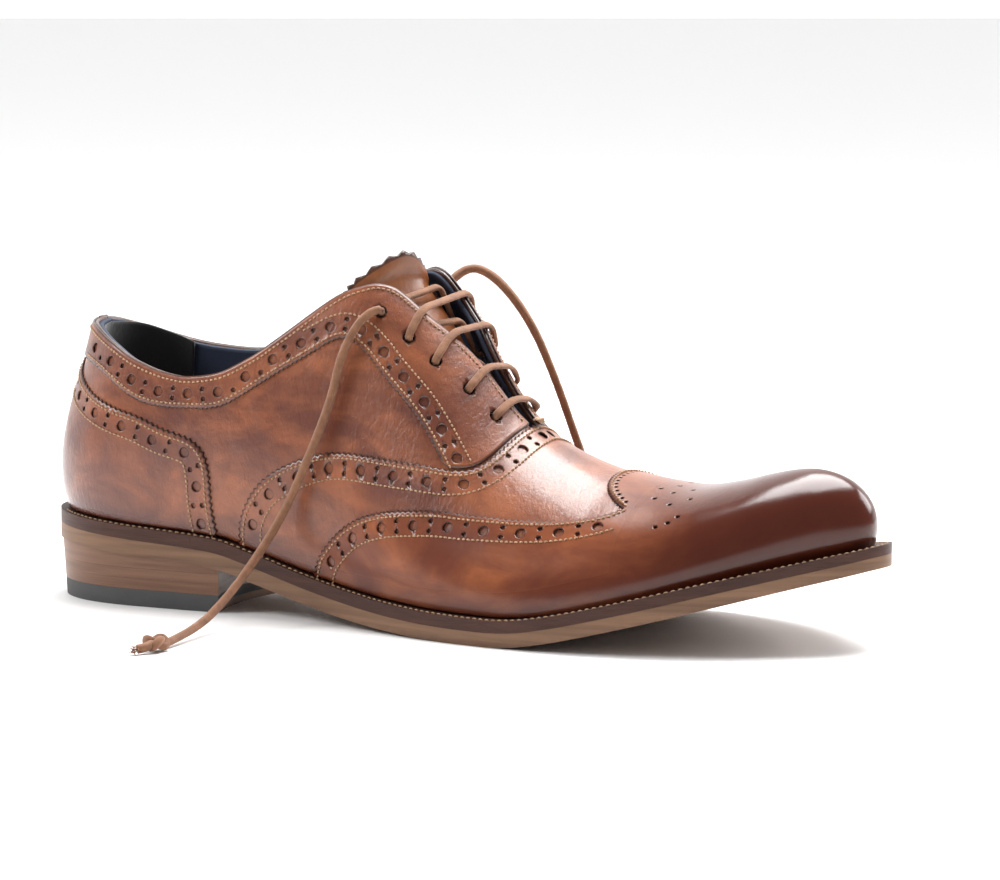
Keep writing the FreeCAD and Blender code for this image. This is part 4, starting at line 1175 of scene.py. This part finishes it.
mats = {
    "upper": leather("burnished_tan_leather", (0.285, 0.084, 0.030), (0.092, 0.019, 0.009),
                     (0.055, 0.008, 0.004), 0.36, 0.18, coat=0.4, pores=0.55),
    "cap": leather("burnished_cap_leather", (0.27, 0.078, 0.027), (0.105, 0.022, 0.010),
                   (0.058, 0.010, 0.004), 0.32, 0.15, coat=0.3, pores=0.12, shine=0.22, wrinkles=0.1),
    "tongue": leather("tongue_tan_leather", (0.32, 0.105, 0.030), (0.17, 0.05, 0.016), (0.06, 0.02, 0.01),
                      0.36, 0.3),
    "lining": plain("navy_lining", (0.012, 0.02, 0.045), (0.02, 0.03, 0.06), 0.75, grain=900),
    "grip": plain("black_suede", (0.012, 0.012, 0.013), (0.028, 0.026, 0.025), 0.95, sheen=0.35, grain=700,
                  strength=0.6),
    "canvas": plain("vamp_canvas", (0.05, 0.045, 0.04), (0.08, 0.07, 0.06), 0.9, grain=900),
    "lace": plain("tan_suede", (0.36, 0.165, 0.082), (0.10, 0.042, 0.022), 0.85, scale=260, sheen=0.15,
                  strength=0.6, distance=0.0004, grain=650),
    "thread": plain("pale_thread", (0.50, 0.33, 0.20), (0.34, 0.20, 0.11), 0.7, scale=700, grain=2500,
                    strength=0.5, distance=0.0001),
    "welt": plain("dark_welt_leather", (0.016, 0.007, 0.006), (0.085, 0.032, 0.020), 0.5, scale=90,
                  stretch=(0.4, 0.4, 3), strength=0.6, distance=0.0005, grain=160, shine=0.25),
    "outsole": plain("outsole_leather", (0.30, 0.165, 0.092), (0.035, 0.014, 0.009), 0.5, scale=70,
                     stretch=(0.2, 0.2, 5), strength=0.35, grain=90, shine=0.3),
    "lift": plain("stacked_heel_leather", (0.27, 0.14, 0.082), (0.07, 0.028, 0.016), 0.45, scale=70,
                  stretch=(0.2, 0.2, 6), strength=0.3, grain=120, shine=0.3),
    "rubber": plain("grey_rubber", (0.05, 0.05, 0.052), (0.075, 0.072, 0.07), 0.8),
    "brass": plain("brass_nails", (0.7, 0.45, 0.16), (0.6, 0.38, 0.12), 0.35, metallic=1.0),
    "cork": plain("cork", (0.25, 0.13, 0.06), (0.12, 0.06, 0.03), 0.9, scale=400),
    "board": plain("fibre_board", (0.35, 0.25, 0.16), (0.28, 0.2, 0.12), 0.9),
    "steel": plain("shank_steel", (0.4, 0.4, 0.42), (0.35, 0.35, 0.36), 0.3, metallic=1.0),
    "sock": plain("sock_leather", (0.10, 0.045, 0.022), (0.14, 0.065, 0.032), 0.6, grain=600)}
MODELLED = {"cap": [cap], "upper": uppers, "lining": linings + [tongue_back], "canvas": [vamp_lining],
            "grip": [grip], "sock": [sock_liner], "tongue": [tongue], "lace": laces,
            "thread": [thread, bar_tack, welt_sewn]}
CARRIED = {"outsole": "outsole", "welt": "welt", "heel_rand": "welt", "shank": "steel",
           "cork_filler": "cork", "insole": "board", "top_piece_leather": "outsole",
           "top_piece_rubber": "rubber", "heel_lift_1": "lift", "heel_lift_2": "lift", "heel_lift_3": "lift",
           "top_piece_nails": "brass", "heel_stiffener": "board", "toe_puff": "board"}


def paint(obj, look):
    obj.data.materials.clear()
    obj.data.materials.append(mats[look])


for slot_name, pieces in MODELLED.items():
    for obj in pieces:
        paint(obj, slot_name)
        if obj not in (tongue, tongue_back):
            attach(obj, "shoe")
for obj in bpy.data.objects:
    if not obj.hide_render and obj.get("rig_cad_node") in CARRIED:
        paint(obj, CARRIED[obj["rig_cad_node"]])

# ---------------------------------------------------------------- stage
AZIMUTH, ELEVATION, DISTANCE = math.radians(27.0), math.radians(7.6), 1.900
FLOOR = 10.5                                            # half the floor's side, m


def white_mesh(name, corners, faces):
    """White mesh in metres, and its shader node."""
    me = bpy.data.meshes.new(name)
    me.from_pydata(corners, [], faces)
    m, nt, b = material("white_" + name)
    me.materials.append(m)
    return put(name, me), b


def facing_way(way):
    return Vector(way).to_track_quat("-Z", "Y").to_euler()


corners = [(FLOOR * x, FLOOR * y, 0) for x, y in ((-1, -1), (1, -1), (1, 1), (-1, 1))]
floor, b = white_mesh("floor", corners, [(0, 1, 2, 3)])
fill(b, Base_Color=(0.93, 0.93, 0.93, 1), Roughness=0.6)
corners = [(-9, 0, 0), (9, 0, 0), (9, 0, 6), (-9, 0, 6), (-10.36, -2.67, 0), (-10.36, -2.67, 6)]
wall, b = white_mesh("backdrop", corners, [(0, 1, 2, 3), (4, 0, 3, 5)])
fill(b, Emission_Color=(1, 1, 1, 1), Emission_Strength=0.9)
wall.location = (-1.6, 3.9, -0.02)
wall.rotation_euler = (0, 0, AZIMUTH)

world = bpy.context.scene.world or bpy.data.worlds.new("soft")
bpy.context.scene.world = world
world.use_nodes = True
fill(world.node_tree.nodes["Background"], Color=(1, 1, 1, 1), Strength=0.34)
bpy.context.scene.view_settings.view_transform = "Standard"

for name, place, target, size, power in (("top_box", (0.10, 0.35, 0.95), (0.05, 0.0, 0.05), 0.7, 17),
                                         ("left_box", (-0.95, -0.60, 0.80), (-0.05, 0, 0.06), 0.45, 10),
                                         ("back_box", (0.75, 0.85, 0.55), (0.08, 0, 0.06), 0.5, 6)):
    data = bpy.data.lights.new(name, "AREA")
    data.size, data.energy = size, power
    lamp = put(name, data)
    lamp.location = place
    lamp.rotation_euler = facing_way(Vector(target) - Vector(place))
data = bpy.data.lights.new("ceiling", "SUN")
data.energy, data.angle = 1.75, math.radians(50)
sun = put("ceiling", data)
sun.rotation_euler = (math.radians(-22), 0, 0)

# ---------------------------------------------------------------- camera
AIM = (np.array([150.0, 0.0, 45.0]) + SHIFT) * MM
back = np.array([math.sin(AZIMUTH) * math.cos(ELEVATION), -math.cos(AZIMUTH) * math.cos(ELEVATION),
                 math.sin(ELEVATION)])
data = bpy.data.cameras.new("camera")
data.sensor_width, data.lens = 36.0, 200.2
data.shift_x, data.shift_y = 0.045, 0.046
cam = put("camera", data)
cam.location = AIM + back * DISTANCE
cam.rotation_euler = facing_way(-back)
bpy.context.scene.camera = cam
